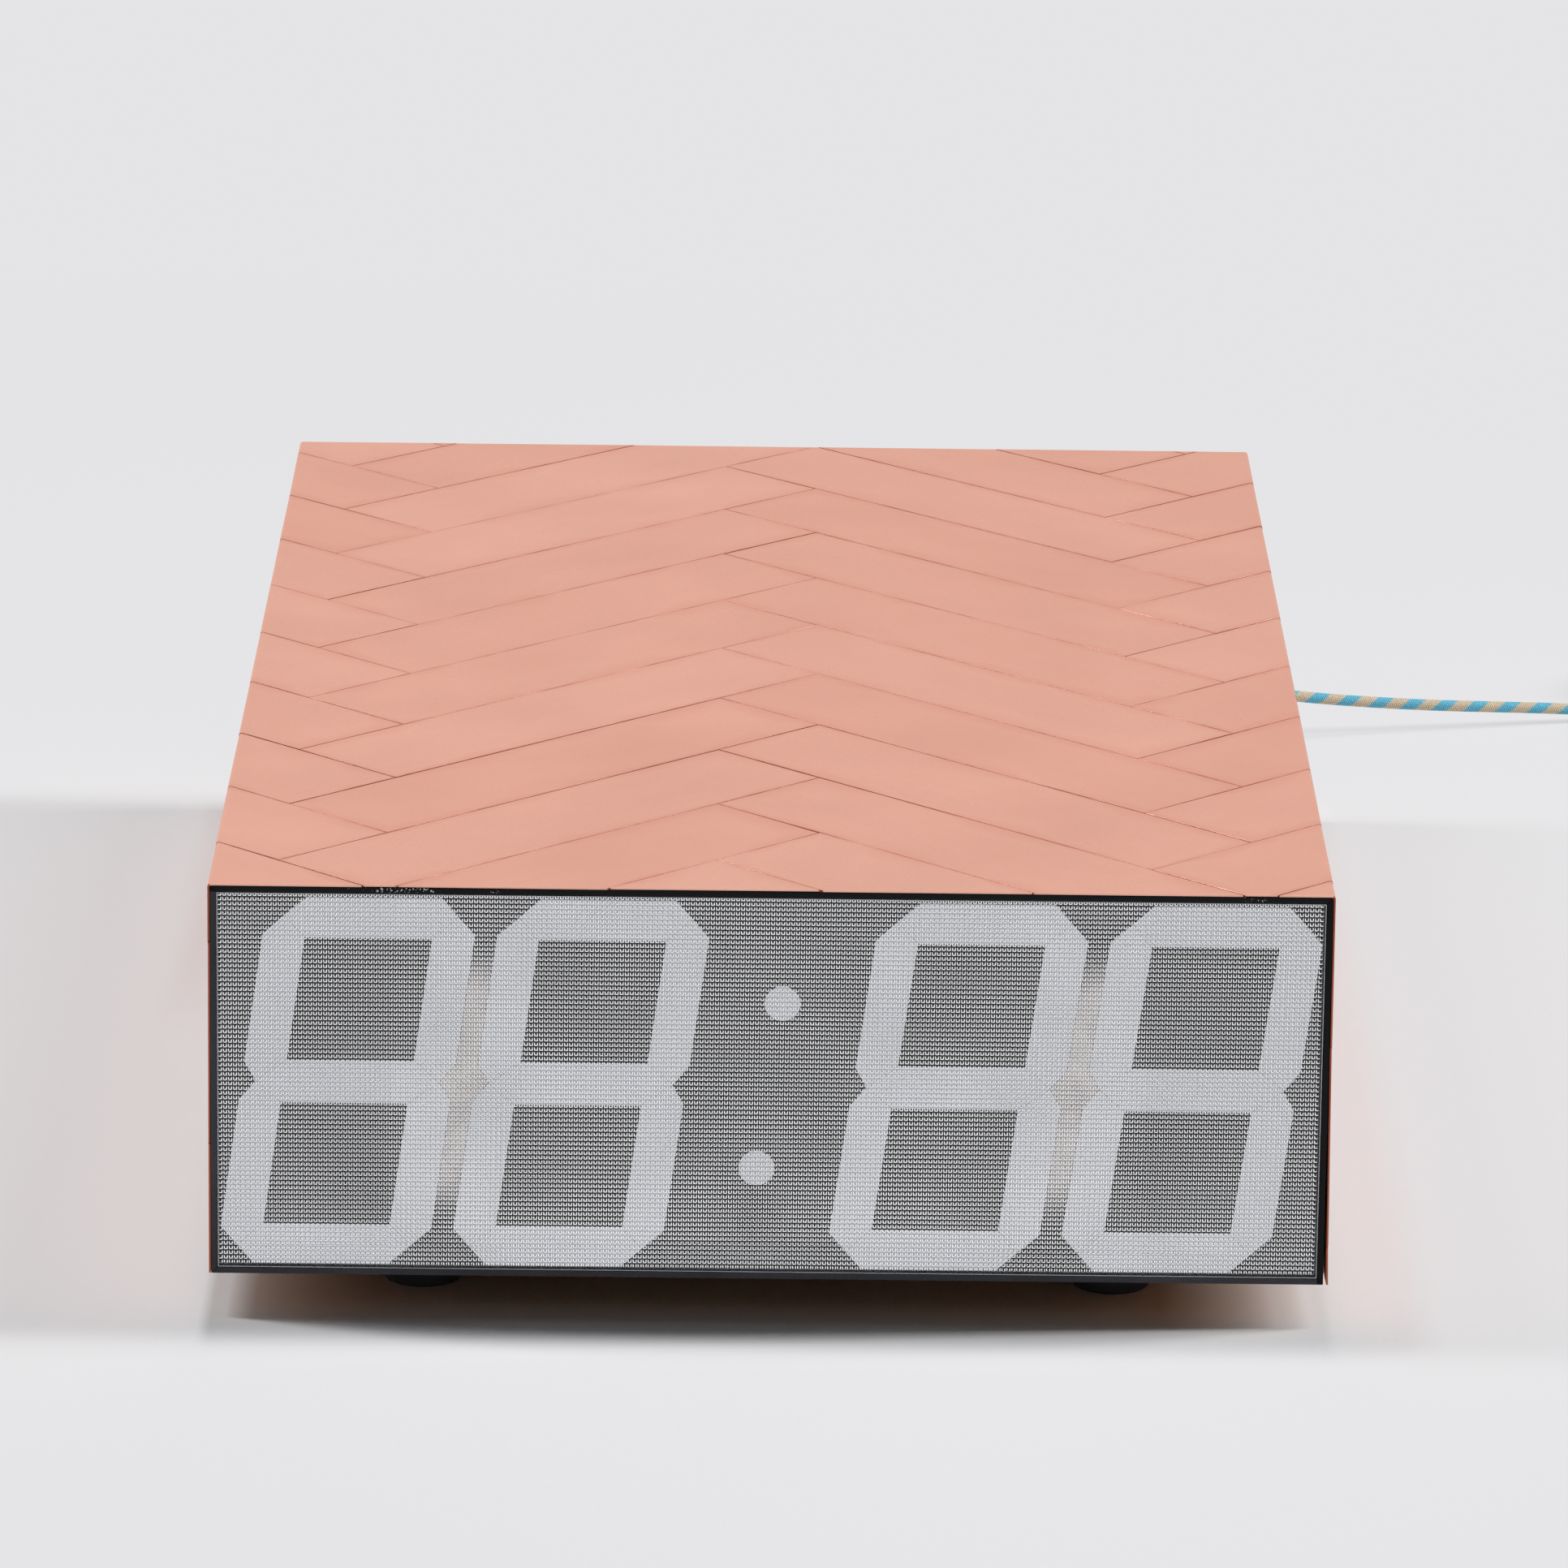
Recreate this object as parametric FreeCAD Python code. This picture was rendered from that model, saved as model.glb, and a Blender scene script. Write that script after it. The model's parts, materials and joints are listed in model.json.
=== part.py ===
"""Floor clock: a low copper-skinned box with a four-digit display behind a prismatic sheet.

Millimetres. The origin is on the floor under the middle of the box. X runs to the right as the
display is read, Y runs from the display to the back, and Z runs up.
"""
import FreeCAD, Part
import math
import os

from FreeCAD import Vector

# Case
case_width = 450.0
case_depth = 760.0
case_height = 163.0
board_thickness = 12.0
front_lip = 2.5
panel_thickness = 6.0
panel_inset = 20.0
panel_clearance = 0.3
batten_size = 15.0
panel_screw_shank = 3.5
panel_screw_head = 7.0
panel_screw_length = 18.0
panel_screw_edge = 7.5
cross_arm = 2.0
cross_width = 0.9
cross_depth = 1.2

# Feet
foot_height = 18.0
foot_diameter = 35.0
foot_taper = 1.5
foot_from_side = 84.0
foot_from_end = 54.0
foot_recess_diameter = 13.0
foot_recess_depth = 11.0
foot_screw_shank = 4.0
foot_screw_head = 8.0
foot_screw_head_height = 2.6
foot_screw_bite = 8.8
foot_slot_width = 1.0
foot_slot_depth = 1.0
foot_washer_diameter = 12.0
foot_washer_thickness = 1.0

# Copper skin, laid in a herringbone at 45 degrees
copper_thickness = 1.0
strip_width = 59.5
strip_length = 249.2
strip_seam = 0.3
herringbone_x = -199.1
herringbone_y = 35.4

# Display
sheet_thickness = 3.0
sheet_clearance = 0.25
display_gap = 0.3
display_board_thickness = 6.0
guide_thickness = 3.0
guide_gap = 0.1
guide_clearance = 0.1
digit_side_margin = 1.2
digit_end_margin = 1.75
digit_gap = 8.8
colon_space = 66.8
stroke_width = 17.1
middle_bar = 18.0
corner_cut = 15.4
notch_depth = 5.6
notch_height = 16.0
digit_slant = 8.0
digit_drop = 0.5
dot_diameter = 14.6
dot_pitch = 69.4
dot_window = 7.0
slot_inset = 5.0
bridge_height = 116.0

# Circuit boards behind the display
circuit_thickness = 1.6
circuit_clearance = 1.0
colon_circuit_width = 44.0
circuit_spacer = 4.0
spacer_diameter = 6.0
board_screw_shank = 3.0
board_screw_head = 5.6
board_screw_head_height = 2.0
board_screw_bite = 2.4
board_screw_recess = 1.6
board_screw_recess_depth = 1.0
screw_hole_clearance = 0.2
screw_end_gap = 0.2
circuit_screw_edge = 5.0
led_size = 5.0
led_height = 1.6
led_spacing = 14.0
led_inset_across = 10.1
led_inset_up = 13.25
header_length = 16.0
header_width = 6.0
header_height = 8.5
header_offset = 22.0
colon_header_offset = 12.0
feed_header_drop = 45.0
ribbon_width = 12.7
ribbon_thickness = 1.0
ribbon_reach = 14.0

# Controller
controller_width = 100.0
controller_depth = 80.0
controller_from_front = 52.0
controller_spacer = 6.0
controller_screw_edge = 5.0
chip_width = 6.6
chip_height = 3.4
chip_lead = 0.5
chip_lead_width = 0.8
chip_pitch = 2.54
clock_pin_count = 16
clock_chip_x = -28.0
clock_chip_row = 29.0
driver_pin_count = 18
driver_chip_spacing = 30.0
driver_chip_row = 50.0
crystal_length = 8.0
crystal_diameter = 3.0
crystal_x = -32.0
crystal_row = 16.0
cell_x = 30.0
cell_row = 26.0
cell_diameter = 20.0
cell_thickness = 3.2
cell_wall = 1.5
cell_clearance = 0.2

# Power supply
supply_width = 98.0
supply_depth = 82.0
supply_height = 30.0
supply_wall = 1.2
supply_x = 60.0
supply_from_back = 150.0
supply_circuit_gap = 5.0
supply_circuit_edge = 2.0
supply_post_edge = 6.0
supply_fit = 0.2
vent_count = 9
vent_pitch = 8.5
vent_width = 3.0
vent_margin = 14.0
transformer_size = 26.0
transformer_height = 18.0
transformer_y = 18.0
capacitor_diameter = 12.0
capacitor_height = 20.0
capacitor_edge = 16.0
capacitor_y = 30.0
terminal_depth = 11.0
terminal_height = 14.0
terminal_pitch = 9.5
terminal_ways = 5
terminal_well = 6.0
lead_diameter = 5.5
low_lead_diameter = 4.0
thin_lead_diameter = 2.0
thin_lead_pitch = 4.0
thin_lead_lane = -70.0
lead_clearance = 0.3
supply_screw_edge = 9.0
supply_screw_bite = 8.0

# Set buttons on the back panel
button_spacing = 30.0
buttons_from_side = 105.0
button_z = 74.0
button_travel = 1.5
cap_diameter = 8.0
cap_proud = 4.0
cap_skirt_diameter = 9.6
cap_skirt_height = 2.0
cap_clearance = 0.2
cap_round = 1.2
skirt_gap = 0.3
bezel_diameter = 15.0
bezel_thickness = 2.0
bezel_chamfer = 0.5
bushing_diameter = 12.0
button_depth = 22.0
button_well_floor = 4.0
button_case_size = 14.0
button_case_depth = 9.0
button_nut_diameter = 17.0
button_nut_thickness = 2.5
panel_hole_clearance = 0.2
spring_wire = 0.6
spring_diameter = 6.0
spring_turns = 4
spring_end_gap = 0.05

# Power switch on the back panel
switch_from_side = 130.0
switch_z = 74.0
switch_length = 19.0
switch_width = 13.0
switch_bezel = 1.5
switch_bezel_thickness = 2.0
switch_depth = 17.0
switch_tab_length = 7.0
switch_tab_offset = 5.0
switch_tab_width = 6.0
switch_tab_thickness = 0.8
rocker_length = 14.4
rocker_width = 9.4
rocker_crown = 5.6
rocker_dip = 1.4
rocker_shoulder = 1.4
rocker_heel_length = 6.8
rocker_heel_depth = 3.2
rocker_tilt = 9.0
rocker_clearance = 0.3
rocker_end_clearance = 1.2
rocker_well_depth = 12.0
rocker_pivot_depth = 5.0
rocker_pin_diameter = 2.0
rocker_pin_inset = 0.5
rocker_pin_end_gap = 0.1
pin_clearance = 0.05

# Cord, its gland and its plug
cord_diameter = 5.5
gland_from_side = 75.0
gland_z = 62.0
gland_hex = 18.0
gland_hex_thickness = 4.0
gland_nose_diameter = 14.0
gland_nose_length = 9.0
gland_chamfer = 1.2
gland_thread = 12.0
gland_thread_length = 14.0
gland_nut_thickness = 4.0
gland_bore_clearance = 0.1
relief_length = 30.0
relief_root = 11.0
relief_tip = 7.6
relief_groove_count = 4
relief_groove_start = 6.0
relief_groove_pitch = 5.0
relief_groove_width = 1.6
relief_groove_depth = 0.8
arc_share = 0.45
coil_x = 461.0
coil_y = 622.0
coil_mean_radius = 33.0
coil_turn_gap = 0.6
coil_start_angle = -80.0
coil_end_angle = -45.0
coil_full_turns = 7
climb_turns = 0.5
climb_steepness = 1.5
points_a_turn = 120
tie_thickness = 0.5
tie_width = 9.0
tie_clearance = 0.1
tie_side_clearance = 1.0
tie_round = 2.0
tie_angle = 235.0
plug_length = 28.0
plug_width = 24.0
plug_thickness = 16.0
plug_relief_length = 20.0
plug_relief_tip = 8.0
plug_relief_root = 11.0
plug_corner = 3.0
blade_length = 17.0
blade_width = 6.3
blade_thickness = 1.5
blade_pitch = 12.7
blade_root = 3.0

# Places worked out from the sizes above
front_y = -case_depth / 2
back_y = case_depth / 2
bottom_z = foot_height
top_z = foot_height + case_height
inner_floor = bottom_z + board_thickness
panel_outer_y = back_y - panel_inset
panel_inner_y = panel_outer_y - panel_thickness
inner_half = case_width / 2 - board_thickness
inner_ceiling = top_z - board_thickness
opening_width = case_width - 2 * front_lip
opening_height = case_height - 2 * front_lip
rebate_depth = sheet_thickness + display_gap + display_board_thickness
display_y = front_y + sheet_thickness + display_gap
guide_back_y = display_y + guide_thickness
display_back_y = display_y + display_board_thickness
circuit_y = display_back_y + circuit_spacer
circuit_back_y = circuit_y + circuit_thickness
case_middle_z = bottom_z + case_height / 2
digit_z = case_middle_z - digit_drop
slant = math.tan(math.radians(digit_slant))
digit_height = opening_height - 2 * digit_end_margin
digit_lean = slant * (digit_height / 2 - corner_cut)
digits_width = opening_width - 2 * (digit_side_margin + digit_lean)
digit_width = (digits_width - 2 * digit_gap - colon_space) / 4
inner_digit_x = (colon_space + digit_width) / 2
outer_digit_x = inner_digit_x + digit_width + digit_gap
digit_centres = [-outer_digit_x, -inner_digit_x, inner_digit_x, outer_digit_x]
window_half = digit_width / 2 - stroke_width
circuit_width = 2 * (inner_half - circuit_clearance - outer_digit_x)
circuit_height = inner_ceiling - inner_floor - 2 * circuit_clearance
button_x = buttons_from_side - case_width / 2
switch_x = case_width / 2 - switch_from_side
gland_x = case_width / 2 - gland_from_side
gland_end_y = panel_outer_y + gland_hex_thickness + gland_nose_length
relief_end_y = gland_end_y + relief_length
coil_low_z = cord_diameter / 2 + tie_thickness + tie_clearance
coil_high_z = coil_low_z + cord_diameter + coil_turn_gap
coil_pitch = cord_diameter + coil_turn_gap
coil_turns = coil_full_turns + (coil_end_angle - coil_start_angle) / 360
layer_turns = (coil_turns - climb_turns) / 2
coil_outer_radius = coil_mean_radius + layer_turns * coil_pitch / 2

X_AXIS = Vector(1, 0, 0)
Y_AXIS = Vector(0, 1, 0)
Z_AXIS = Vector(0, 0, 1)


def box(x_low, x_high, y_low, y_high, z_low, z_high):
    corner = Vector(x_low, y_low, z_low)
    return Part.makeBox(x_high - x_low, y_high - y_low, z_high - z_low, corner)


def rod(diameter, length, start, axis):
    return Part.makeCylinder(diameter / 2, length, start, axis)


def cone(diameter_start, diameter_end, length, start, axis):
    return Part.makeCone(diameter_start / 2, diameter_end / 2, length, start, axis)


def polygon(points):
    return Part.Face(Part.makePolygon(points + points[:1]))


def fuse_all(solids):
    return solids[0].multiFuse(solids[1:]).removeSplitter()


def route_wire(points):
    """Straight runs joined by tangent arcs, each as large as its two runs allow."""
    edges = []
    radii = []
    start = points[0]
    for before, corner, after in zip(points, points[1:], points[2:]):
        ahead = (corner - before).normalize()
        onward = (after - corner).normalize()
        half_turn = ahead.getAngle(onward) / 2
        shorter = min(corner.distanceToPoint(before), after.distanceToPoint(corner))
        setback = arc_share * shorter
        radius = setback / math.tan(half_turn)
        bisector = (onward - ahead).normalize()
        middle = corner + bisector * (radius / math.cos(half_turn) - radius)
        arc_start = corner - ahead * setback
        arc_end = corner + onward * setback
        edges.append(Part.LineSegment(start, arc_start).toShape())
        edges.append(Part.Arc(arc_start, middle, arc_end).toShape())
        radii.append(radius)
        start = arc_end
    edges.append(Part.LineSegment(start, points[-1]).toShape())
    return Part.Wire(edges), radii


def round_tube(wire, diameter):
    first = wire.Edges[0]
    start = first.valueAt(first.FirstParameter)
    heading = first.tangentAt(first.FirstParameter)
    circle = Part.Wire(Part.makeCircle(diameter / 2, start, heading))
    return wire.makePipeShell([circle], True, False)


def ribbon(points, across, section_width):
    """A flat cable along a planar route, as wide as section_width along the across direction."""
    wire, radii = route_wire(points)
    heading = (points[1] - points[0]).normalize()
    thick = heading.cross(across) * (ribbon_thickness / 2)
    wide = across * (section_width / 2)
    start = points[0]
    corners = [start + thick + wide, start - thick + wide, start - thick - wide, start + thick - wide]
    profile = Part.makePolygon(corners + corners[:1])
    return wire.makePipeShell([profile], True, False)


def mitred_board(span, length, thickness):
    half = span / 2
    section = [
        Vector(-half, 0, 0),
        Vector(half, 0, 0),
        Vector(half - thickness, 0, -thickness),
        Vector(-half + thickness, 0, -thickness),
    ]
    return polygon(section).extrude(Y_AXIS * length)


def case_boards():
    middle = Vector(0, 0, case_middle_z)
    recess = box(
        -opening_width / 2, opening_width / 2,
        front_y, front_y + rebate_depth,
        bottom_z + front_lip, top_z - front_lip,
    )
    turns = {"top_board": 0, "right_board": 90, "bottom_board": 180, "left_board": 270}
    boards = {}
    for name, turn in turns.items():
        upright = turn in (90, 270)
        span = case_height if upright else case_width
        reach = case_width / 2 if upright else case_height / 2
        board = mitred_board(span, case_depth, board_thickness)
        board.translate(Vector(0, front_y, middle.z + reach))
        board.rotate(middle, Y_AXIS, turn)
        boards[name] = board.cut(recess)
    holes = foot_screw_holes() + controller_screw_holes() + supply_screw_holes()
    boards["bottom_board"] = boards["bottom_board"].cut(holes)
    return boards


def foot_places():
    x = case_width / 2 - foot_from_side
    y = case_depth / 2 - foot_from_end
    return [Vector(sx * x, sy * y, 0) for sy in (-1, 1) for sx in (-1, 1)]


def foot_screw_holes():
    depth = foot_screw_bite + screw_end_gap
    return [rod(foot_screw_shank, depth, place + Z_AXIS * foot_height, Z_AXIS) for place in foot_places()]


def rubber_foot(place):
    foot = cone(foot_diameter - 2 * foot_taper, foot_diameter, foot_height, place, Z_AXIS)
    recess = rod(foot_recess_diameter, foot_recess_depth, place, Z_AXIS)
    shank = rod(foot_screw_shank + 2 * screw_hole_clearance, foot_height, place, Z_AXIS)
    return foot.cut([recess, shank])


def foot_washer(place):
    seat = place + Z_AXIS * (foot_recess_depth - foot_washer_thickness)
    disc = rod(foot_washer_diameter, foot_washer_thickness, seat, Z_AXIS)
    return disc.cut(rod(foot_screw_shank + 2 * screw_hole_clearance, foot_washer_thickness, seat, Z_AXIS))


def foot_screw(place):
    under_head = place + Z_AXIS * (foot_recess_depth - foot_washer_thickness)
    head_start = under_head - Z_AXIS * foot_screw_head_height
    head = rod(foot_screw_head, foot_screw_head_height, head_start, Z_AXIS)
    slot_half = foot_slot_width / 2
    slot = box(-foot_screw_head, foot_screw_head, -slot_half, slot_half, 0, foot_slot_depth)
    slot.translate(head_start)
    shank_length = foot_height + foot_screw_bite - under_head.z
    shank = rod(foot_screw_shank, shank_length, under_head, Z_AXIS)
    return fuse_all([head.cut(slot), shank])


def rear_battens():
    y_low = panel_inner_y - batten_size
    x = inner_half
    x_in = x - batten_size
    z_low = inner_floor + batten_size
    z_high = inner_ceiling - batten_size
    lower = box(-x, x, y_low, panel_inner_y, inner_floor, z_low)
    upper = box(-x, x, y_low, panel_inner_y, z_high, inner_ceiling)
    left = box(-x, -x_in, y_low, panel_inner_y, z_low, z_high)
    right = box(x_in, x, y_low, panel_inner_y, z_low, z_high)
    holes = [panel_screw_hole(place) for place in panel_screw_places()]
    return [piece.cut(holes) for piece in (lower, upper, left, right)]


def panel_screw_places():
    x = inner_half - panel_screw_edge
    z_low = inner_floor + panel_screw_edge
    z_high = inner_ceiling - panel_screw_edge
    z_middle = (z_low + z_high) / 2
    places = [(sx * x, z) for sx in (-1, 1) for z in (z_low, z_middle, z_high)]
    places += [(0, z_low), (0, z_high)]
    return [Vector(x, panel_outer_y, z) for x, z in places]


def panel_screw_hole(place):
    return rod(panel_screw_shank, panel_screw_length, place, -Y_AXIS)


def panel_screw_cone(place, extra):
    depth = (panel_screw_head - panel_screw_shank) / 2
    return cone(panel_screw_head + extra, panel_screw_shank + extra, depth, place, -Y_AXIS)


def panel_screw(place):
    shank = rod(panel_screw_shank, panel_screw_length, place, -Y_AXIS)
    screw = fuse_all([panel_screw_cone(place, 0), shank])
    half = cross_width / 2
    cross = [
        box(-cross_arm, cross_arm, -cross_depth, 0, -half, half),
        box(-half, half, -cross_depth, 0, -cross_arm, cross_arm),
    ]
    for tool in cross:
        tool.translate(place)
    return screw.cut(cross)


def button_places():
    return [Vector(button_x + i * button_spacing, panel_outer_y, button_z) for i in range(3)]


def back_panel():
    x = inner_half - panel_clearance
    z_low = inner_floor + panel_clearance
    z_high = inner_ceiling - panel_clearance
    panel = box(-x, x, panel_inner_y, panel_outer_y, z_low, z_high)
    tools = []
    for place in panel_screw_places():
        tools.append(panel_screw_cone(place, 2 * screw_hole_clearance))
        tools.append(rod(panel_screw_shank + 2 * screw_hole_clearance, panel_thickness, place, -Y_AXIS))
    for place in button_places():
        tools.append(rod(bushing_diameter + 2 * panel_hole_clearance, panel_thickness, place, -Y_AXIS))
    half_length = switch_length / 2 + panel_hole_clearance
    half_width = switch_width / 2 + panel_hole_clearance
    tools.append(box(
        switch_x - half_width, switch_x + half_width,
        panel_inner_y, panel_outer_y,
        switch_z - half_length, switch_z + half_length,
    ))
    gland = Vector(gland_x, panel_outer_y, gland_z)
    tools.append(rod(gland_thread + 2 * panel_hole_clearance, panel_thickness, gland, -Y_AXIS))
    return panel.cut(tools)


def herringbone_strips(column):
    """The strips of one column, flat, in the plane of the top."""
    reach = (strip_length + strip_seam) / math.sqrt(2)
    step = (strip_width + strip_seam) / math.sqrt(2)
    rising = column % 2 == 0
    x = herringbone_x + column * reach + (step if rising else 0)
    y = front_y + herringbone_y + (step if rising else reach)
    along = Vector(1, 1 if rising else -1, 0).normalize()
    across = Vector(-1 if rising else 1, 1, 0).normalize()
    count = math.ceil((case_depth + 2 * reach) / (2 * step))
    lowest = math.ceil((y - front_y + reach) / (2 * step))
    strips = []
    for i in range(-lowest, count):
        corner = Vector(x, y + i * 2 * step, 0) + (along + across) * (strip_seam / 2)
        end = corner + along * strip_length
        strips.append(polygon([corner, end, end + across * strip_width, corner + across * strip_width]))
    return strips


def area_face(x_low, x_high):
    corners = [(x_low, front_y), (x_high, front_y), (x_high, back_y), (x_low, back_y)]
    return polygon([Vector(x, y, 0) for x, y in corners])


def copper_on_top(strip):
    flat = strip.common(area_face(-case_width / 2, case_width / 2))
    pieces = [face.extrude(Z_AXIS * copper_thickness) for face in flat.Faces]
    for piece in pieces:
        piece.translate(Z_AXIS * top_z)
    return pieces


def copper_on_side(strip, side):
    """The part of a strip past the fold, turned down against the side board."""
    fold = side * case_width / 2
    far = side * (case_width / 2 + case_height)
    flat = strip.common(area_face(min(fold, far), max(fold, far)))
    pieces = []
    for face in flat.Faces:
        face.rotate(Vector(fold, 0, 0), Y_AXIS, side * 90)
        piece = face.extrude(X_AXIS * side * copper_thickness)
        piece.translate(Z_AXIS * top_z)
        pieces.append(piece)
    return pieces


def copper_fold(strip, side):
    """The outer corner of the fold, where the strip turns over the long edge."""
    fold = side * case_width / 2
    line = Part.makeLine(Vector(fold, front_y, 0), Vector(fold, back_y, 0))
    corners = []
    for edge in strip.common(line).Edges:
        bound = edge.BoundBox
        x_low = min(fold, fold + side * copper_thickness)
        corner = box(x_low, x_low + copper_thickness, bound.YMin, bound.YMax, top_z, top_z + copper_thickness)
        corners.append(corner)
    return corners


def copper_column(column):
    pieces = []
    for strip in herringbone_strips(column):
        parts = copper_on_top(strip)
        for side in (-1, 1):
            parts += copper_on_side(strip, side)
            parts += copper_fold(strip, side)
        if parts:
            pieces.append(fuse_all(parts) if len(parts) > 1 else parts[0])
    return pieces


def prismatic_sheet():
    x = opening_width / 2 - sheet_clearance
    z_low = bottom_z + front_lip + sheet_clearance
    z_high = top_z - front_lip - sheet_clearance
    return box(-x, x, front_y, front_y + sheet_thickness, z_low, z_high)


def slanted(x, z, centre_x, y):
    """A point of a digit, leaning with the digit's slant."""
    return Vector(centre_x + x + z * slant, y, digit_z + z)


def digit_corners():
    """The named corners of the right upper quarter of a digit."""
    half_width = digit_width / 2
    half_height = digit_height / 2
    return {
        "top": (half_width - corner_cut, half_height),
        "cut": (half_width - corner_cut / 2, half_height - corner_cut / 2),
        "side": (half_width, half_height - corner_cut),
        "window_top": (window_half, half_height - stroke_width),
        "window_low": (window_half, middle_bar / 2),
        "notch_top": (half_width, notch_height / 2),
        "notch": (half_width - notch_depth, 0),
    }


def segment_outlines():
    """The seven segments of a digit, each a list of upright corners."""
    c = digit_corners()
    right = [c[name] for name in ("window_top", "cut", "side", "notch_top", "notch", "window_low")]
    end = [c[name] for name in ("window_top", "cut", "top")]
    top = end + [(-x, z) for x, z in reversed(end)]
    tip = [c["window_low"], c["notch"], (c["window_low"][0], -c["window_low"][1])]
    middle = tip + [(-x, -z) for x, z in tip]
    left = [(-x, z) for x, z in right]
    outlines = [top, right, left, middle]
    outlines += [[(x, -z) for x, z in outline] for outline in (right, left, top)]
    return outlines


def plate(outline, centre_x, y, thickness, inset=0.0):
    """A slanted plate of the outline's shape, shrunk by inset on every side."""
    face = polygon([slanted(x, z, centre_x, y) for x, z in outline])
    if inset:
        face = face.makeOffset2D(-inset, join=2)
    return face.extrude(Y_AXIS * thickness)


def digit_segments(centre_x):
    inset = guide_gap / 2
    return [plate(outline, centre_x, display_y, guide_thickness, inset) for outline in segment_outlines()]


def digit_pocket(centre_x):
    c = digit_corners()
    quarter = [c[name] for name in ("top", "side", "notch_top", "notch")]
    right = quarter + [(x, -z) for x, z in reversed(quarter[:-1])]
    outline = right + [(-x, -z) for x, z in right]
    pocket = plate(outline, centre_x, display_y, guide_thickness, -guide_clearance)
    half = window_half
    low = middle_bar / 2
    high = digit_height / 2 - stroke_width
    for side in (-1, 1):
        window = [(-half, side * low), (half, side * low), (half, side * high), (-half, side * high)]
        pocket = pocket.cut(plate(window, centre_x, display_y, guide_thickness, guide_clearance))
    return pocket


def dot_places(y):
    return [slanted(0, side * dot_pitch / 2, 0, y) for side in (-1, 1)]


def bridge_centres():
    return [(digit_centres[0] + digit_centres[1]) / 2, (digit_centres[2] + digit_centres[3]) / 2]


def bridge_outline(width):
    """A bar between two digits that also fills the notches at their waists."""
    half = width / 2
    tall = bridge_height / 2
    notch = notch_height / 2
    right = [(half, -tall), (half, -notch), (half + notch_depth, 0), (half, notch), (half, tall)]
    return right + [(-x, -z) for x, z in right]


def digit_bridges():
    width = digit_gap - 2 * guide_gap
    return [plate(bridge_outline(width), x, display_y, guide_thickness) for x in bridge_centres()]


def colon_dots():
    return [rod(dot_diameter, guide_thickness, place, Y_AXIS) for place in dot_places(display_y)]


def circuit_screw_places(width, centre_x):
    half = width / 2 - circuit_screw_edge
    tall = circuit_height / 2 - circuit_screw_edge
    middle = Vector(centre_x, display_back_y, case_middle_z)
    return [middle + Vector(sx * half, 0, sz * tall) for sx in (-1, 1) for sz in (-1, 1)]


def all_circuit_screws():
    places = []
    for centre_x in digit_centres:
        places += circuit_screw_places(circuit_width, centre_x)
    return places + circuit_screw_places(colon_circuit_width, 0)


def display_board():
    x = opening_width / 2 - sheet_clearance
    z_low = bottom_z + front_lip + sheet_clearance
    z_high = top_z - front_lip - sheet_clearance
    board = box(-x, x, display_y, display_back_y, z_low, z_high)
    floor = display_board_thickness - guide_thickness
    tools = []
    for centre_x in digit_centres:
        tools.append(digit_pocket(centre_x))
        for outline in segment_outlines():
            tools.append(plate(outline, centre_x, guide_back_y, floor, slot_inset))
    for centre_x in bridge_centres():
        tools.append(plate(bridge_outline(digit_gap), centre_x, display_y, guide_thickness, -guide_clearance))
    for place in dot_places(display_y):
        tools.append(rod(dot_diameter + 2 * guide_clearance, guide_thickness, place, Y_AXIS))
        tools.append(rod(dot_window, display_board_thickness, place, Y_AXIS))
    for place in all_circuit_screws():
        tools.append(rod(board_screw_shank, board_screw_bite + screw_end_gap, place, -Y_AXIS))
    return board.cut(tools)


def led_places():
    """The upright places of a digit's lamps, three to a segment."""
    steps = (-led_spacing, 0, led_spacing)
    across = digit_width / 2 - led_inset_across
    high = digit_height / 2 - led_inset_up
    row = (digit_height / 2 - stroke_width + middle_bar / 2) / 2
    flat = [(step, z) for z in (-high, 0, high) for step in steps]
    tall = [(sx * across, sz * row + step) for sx in (-1, 1) for sz in (-1, 1) for step in steps]
    return flat + tall


def led(place):
    half = led_size / 2
    front = circuit_y - led_height
    return box(place.x - half, place.x + half, front, circuit_y, place.z - half, place.z + half)


def display_leds():
    places = []
    for centre_x in digit_centres:
        places += [slanted(x, z, centre_x, circuit_y) for x, z in led_places()]
    places += dot_places(circuit_y)
    return [led(place) for place in places]


def circuit(width, centre_x):
    half = width / 2
    tall = circuit_height / 2
    board = box(
        centre_x - half, centre_x + half,
        circuit_y, circuit_back_y,
        case_middle_z - tall, case_middle_z + tall,
    )
    hole = board_screw_shank + 2 * screw_hole_clearance
    holes = [rod(hole, circuit_spacer + circuit_thickness, place, Y_AXIS)
             for place in circuit_screw_places(width, centre_x)]
    return board.cut(holes)


def spacer(place, axis, length):
    tube = rod(spacer_diameter, length, place, axis)
    return tube.cut(rod(board_screw_shank + 2 * screw_hole_clearance, length, place, axis))


def board_screw(seat, axis, grip):
    """A pan-head screw whose head sits at seat and whose shank runs along axis."""
    head = rod(board_screw_head, board_screw_head_height, seat, -axis)
    shank = rod(board_screw_shank, grip + board_screw_bite, seat, axis)
    cross = rod(board_screw_recess, board_screw_recess_depth, seat - axis * board_screw_head_height, axis)
    return fuse_all([head, shank]).cut(cross)


def controller_screw_places():
    x = controller_width / 2 - controller_screw_edge
    y_low = front_y + controller_from_front + controller_screw_edge
    y_high = front_y + controller_from_front + controller_depth - controller_screw_edge
    return [Vector(sx * x, y, inner_floor) for sx in (-1, 1) for y in (y_low, y_high)]


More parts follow.
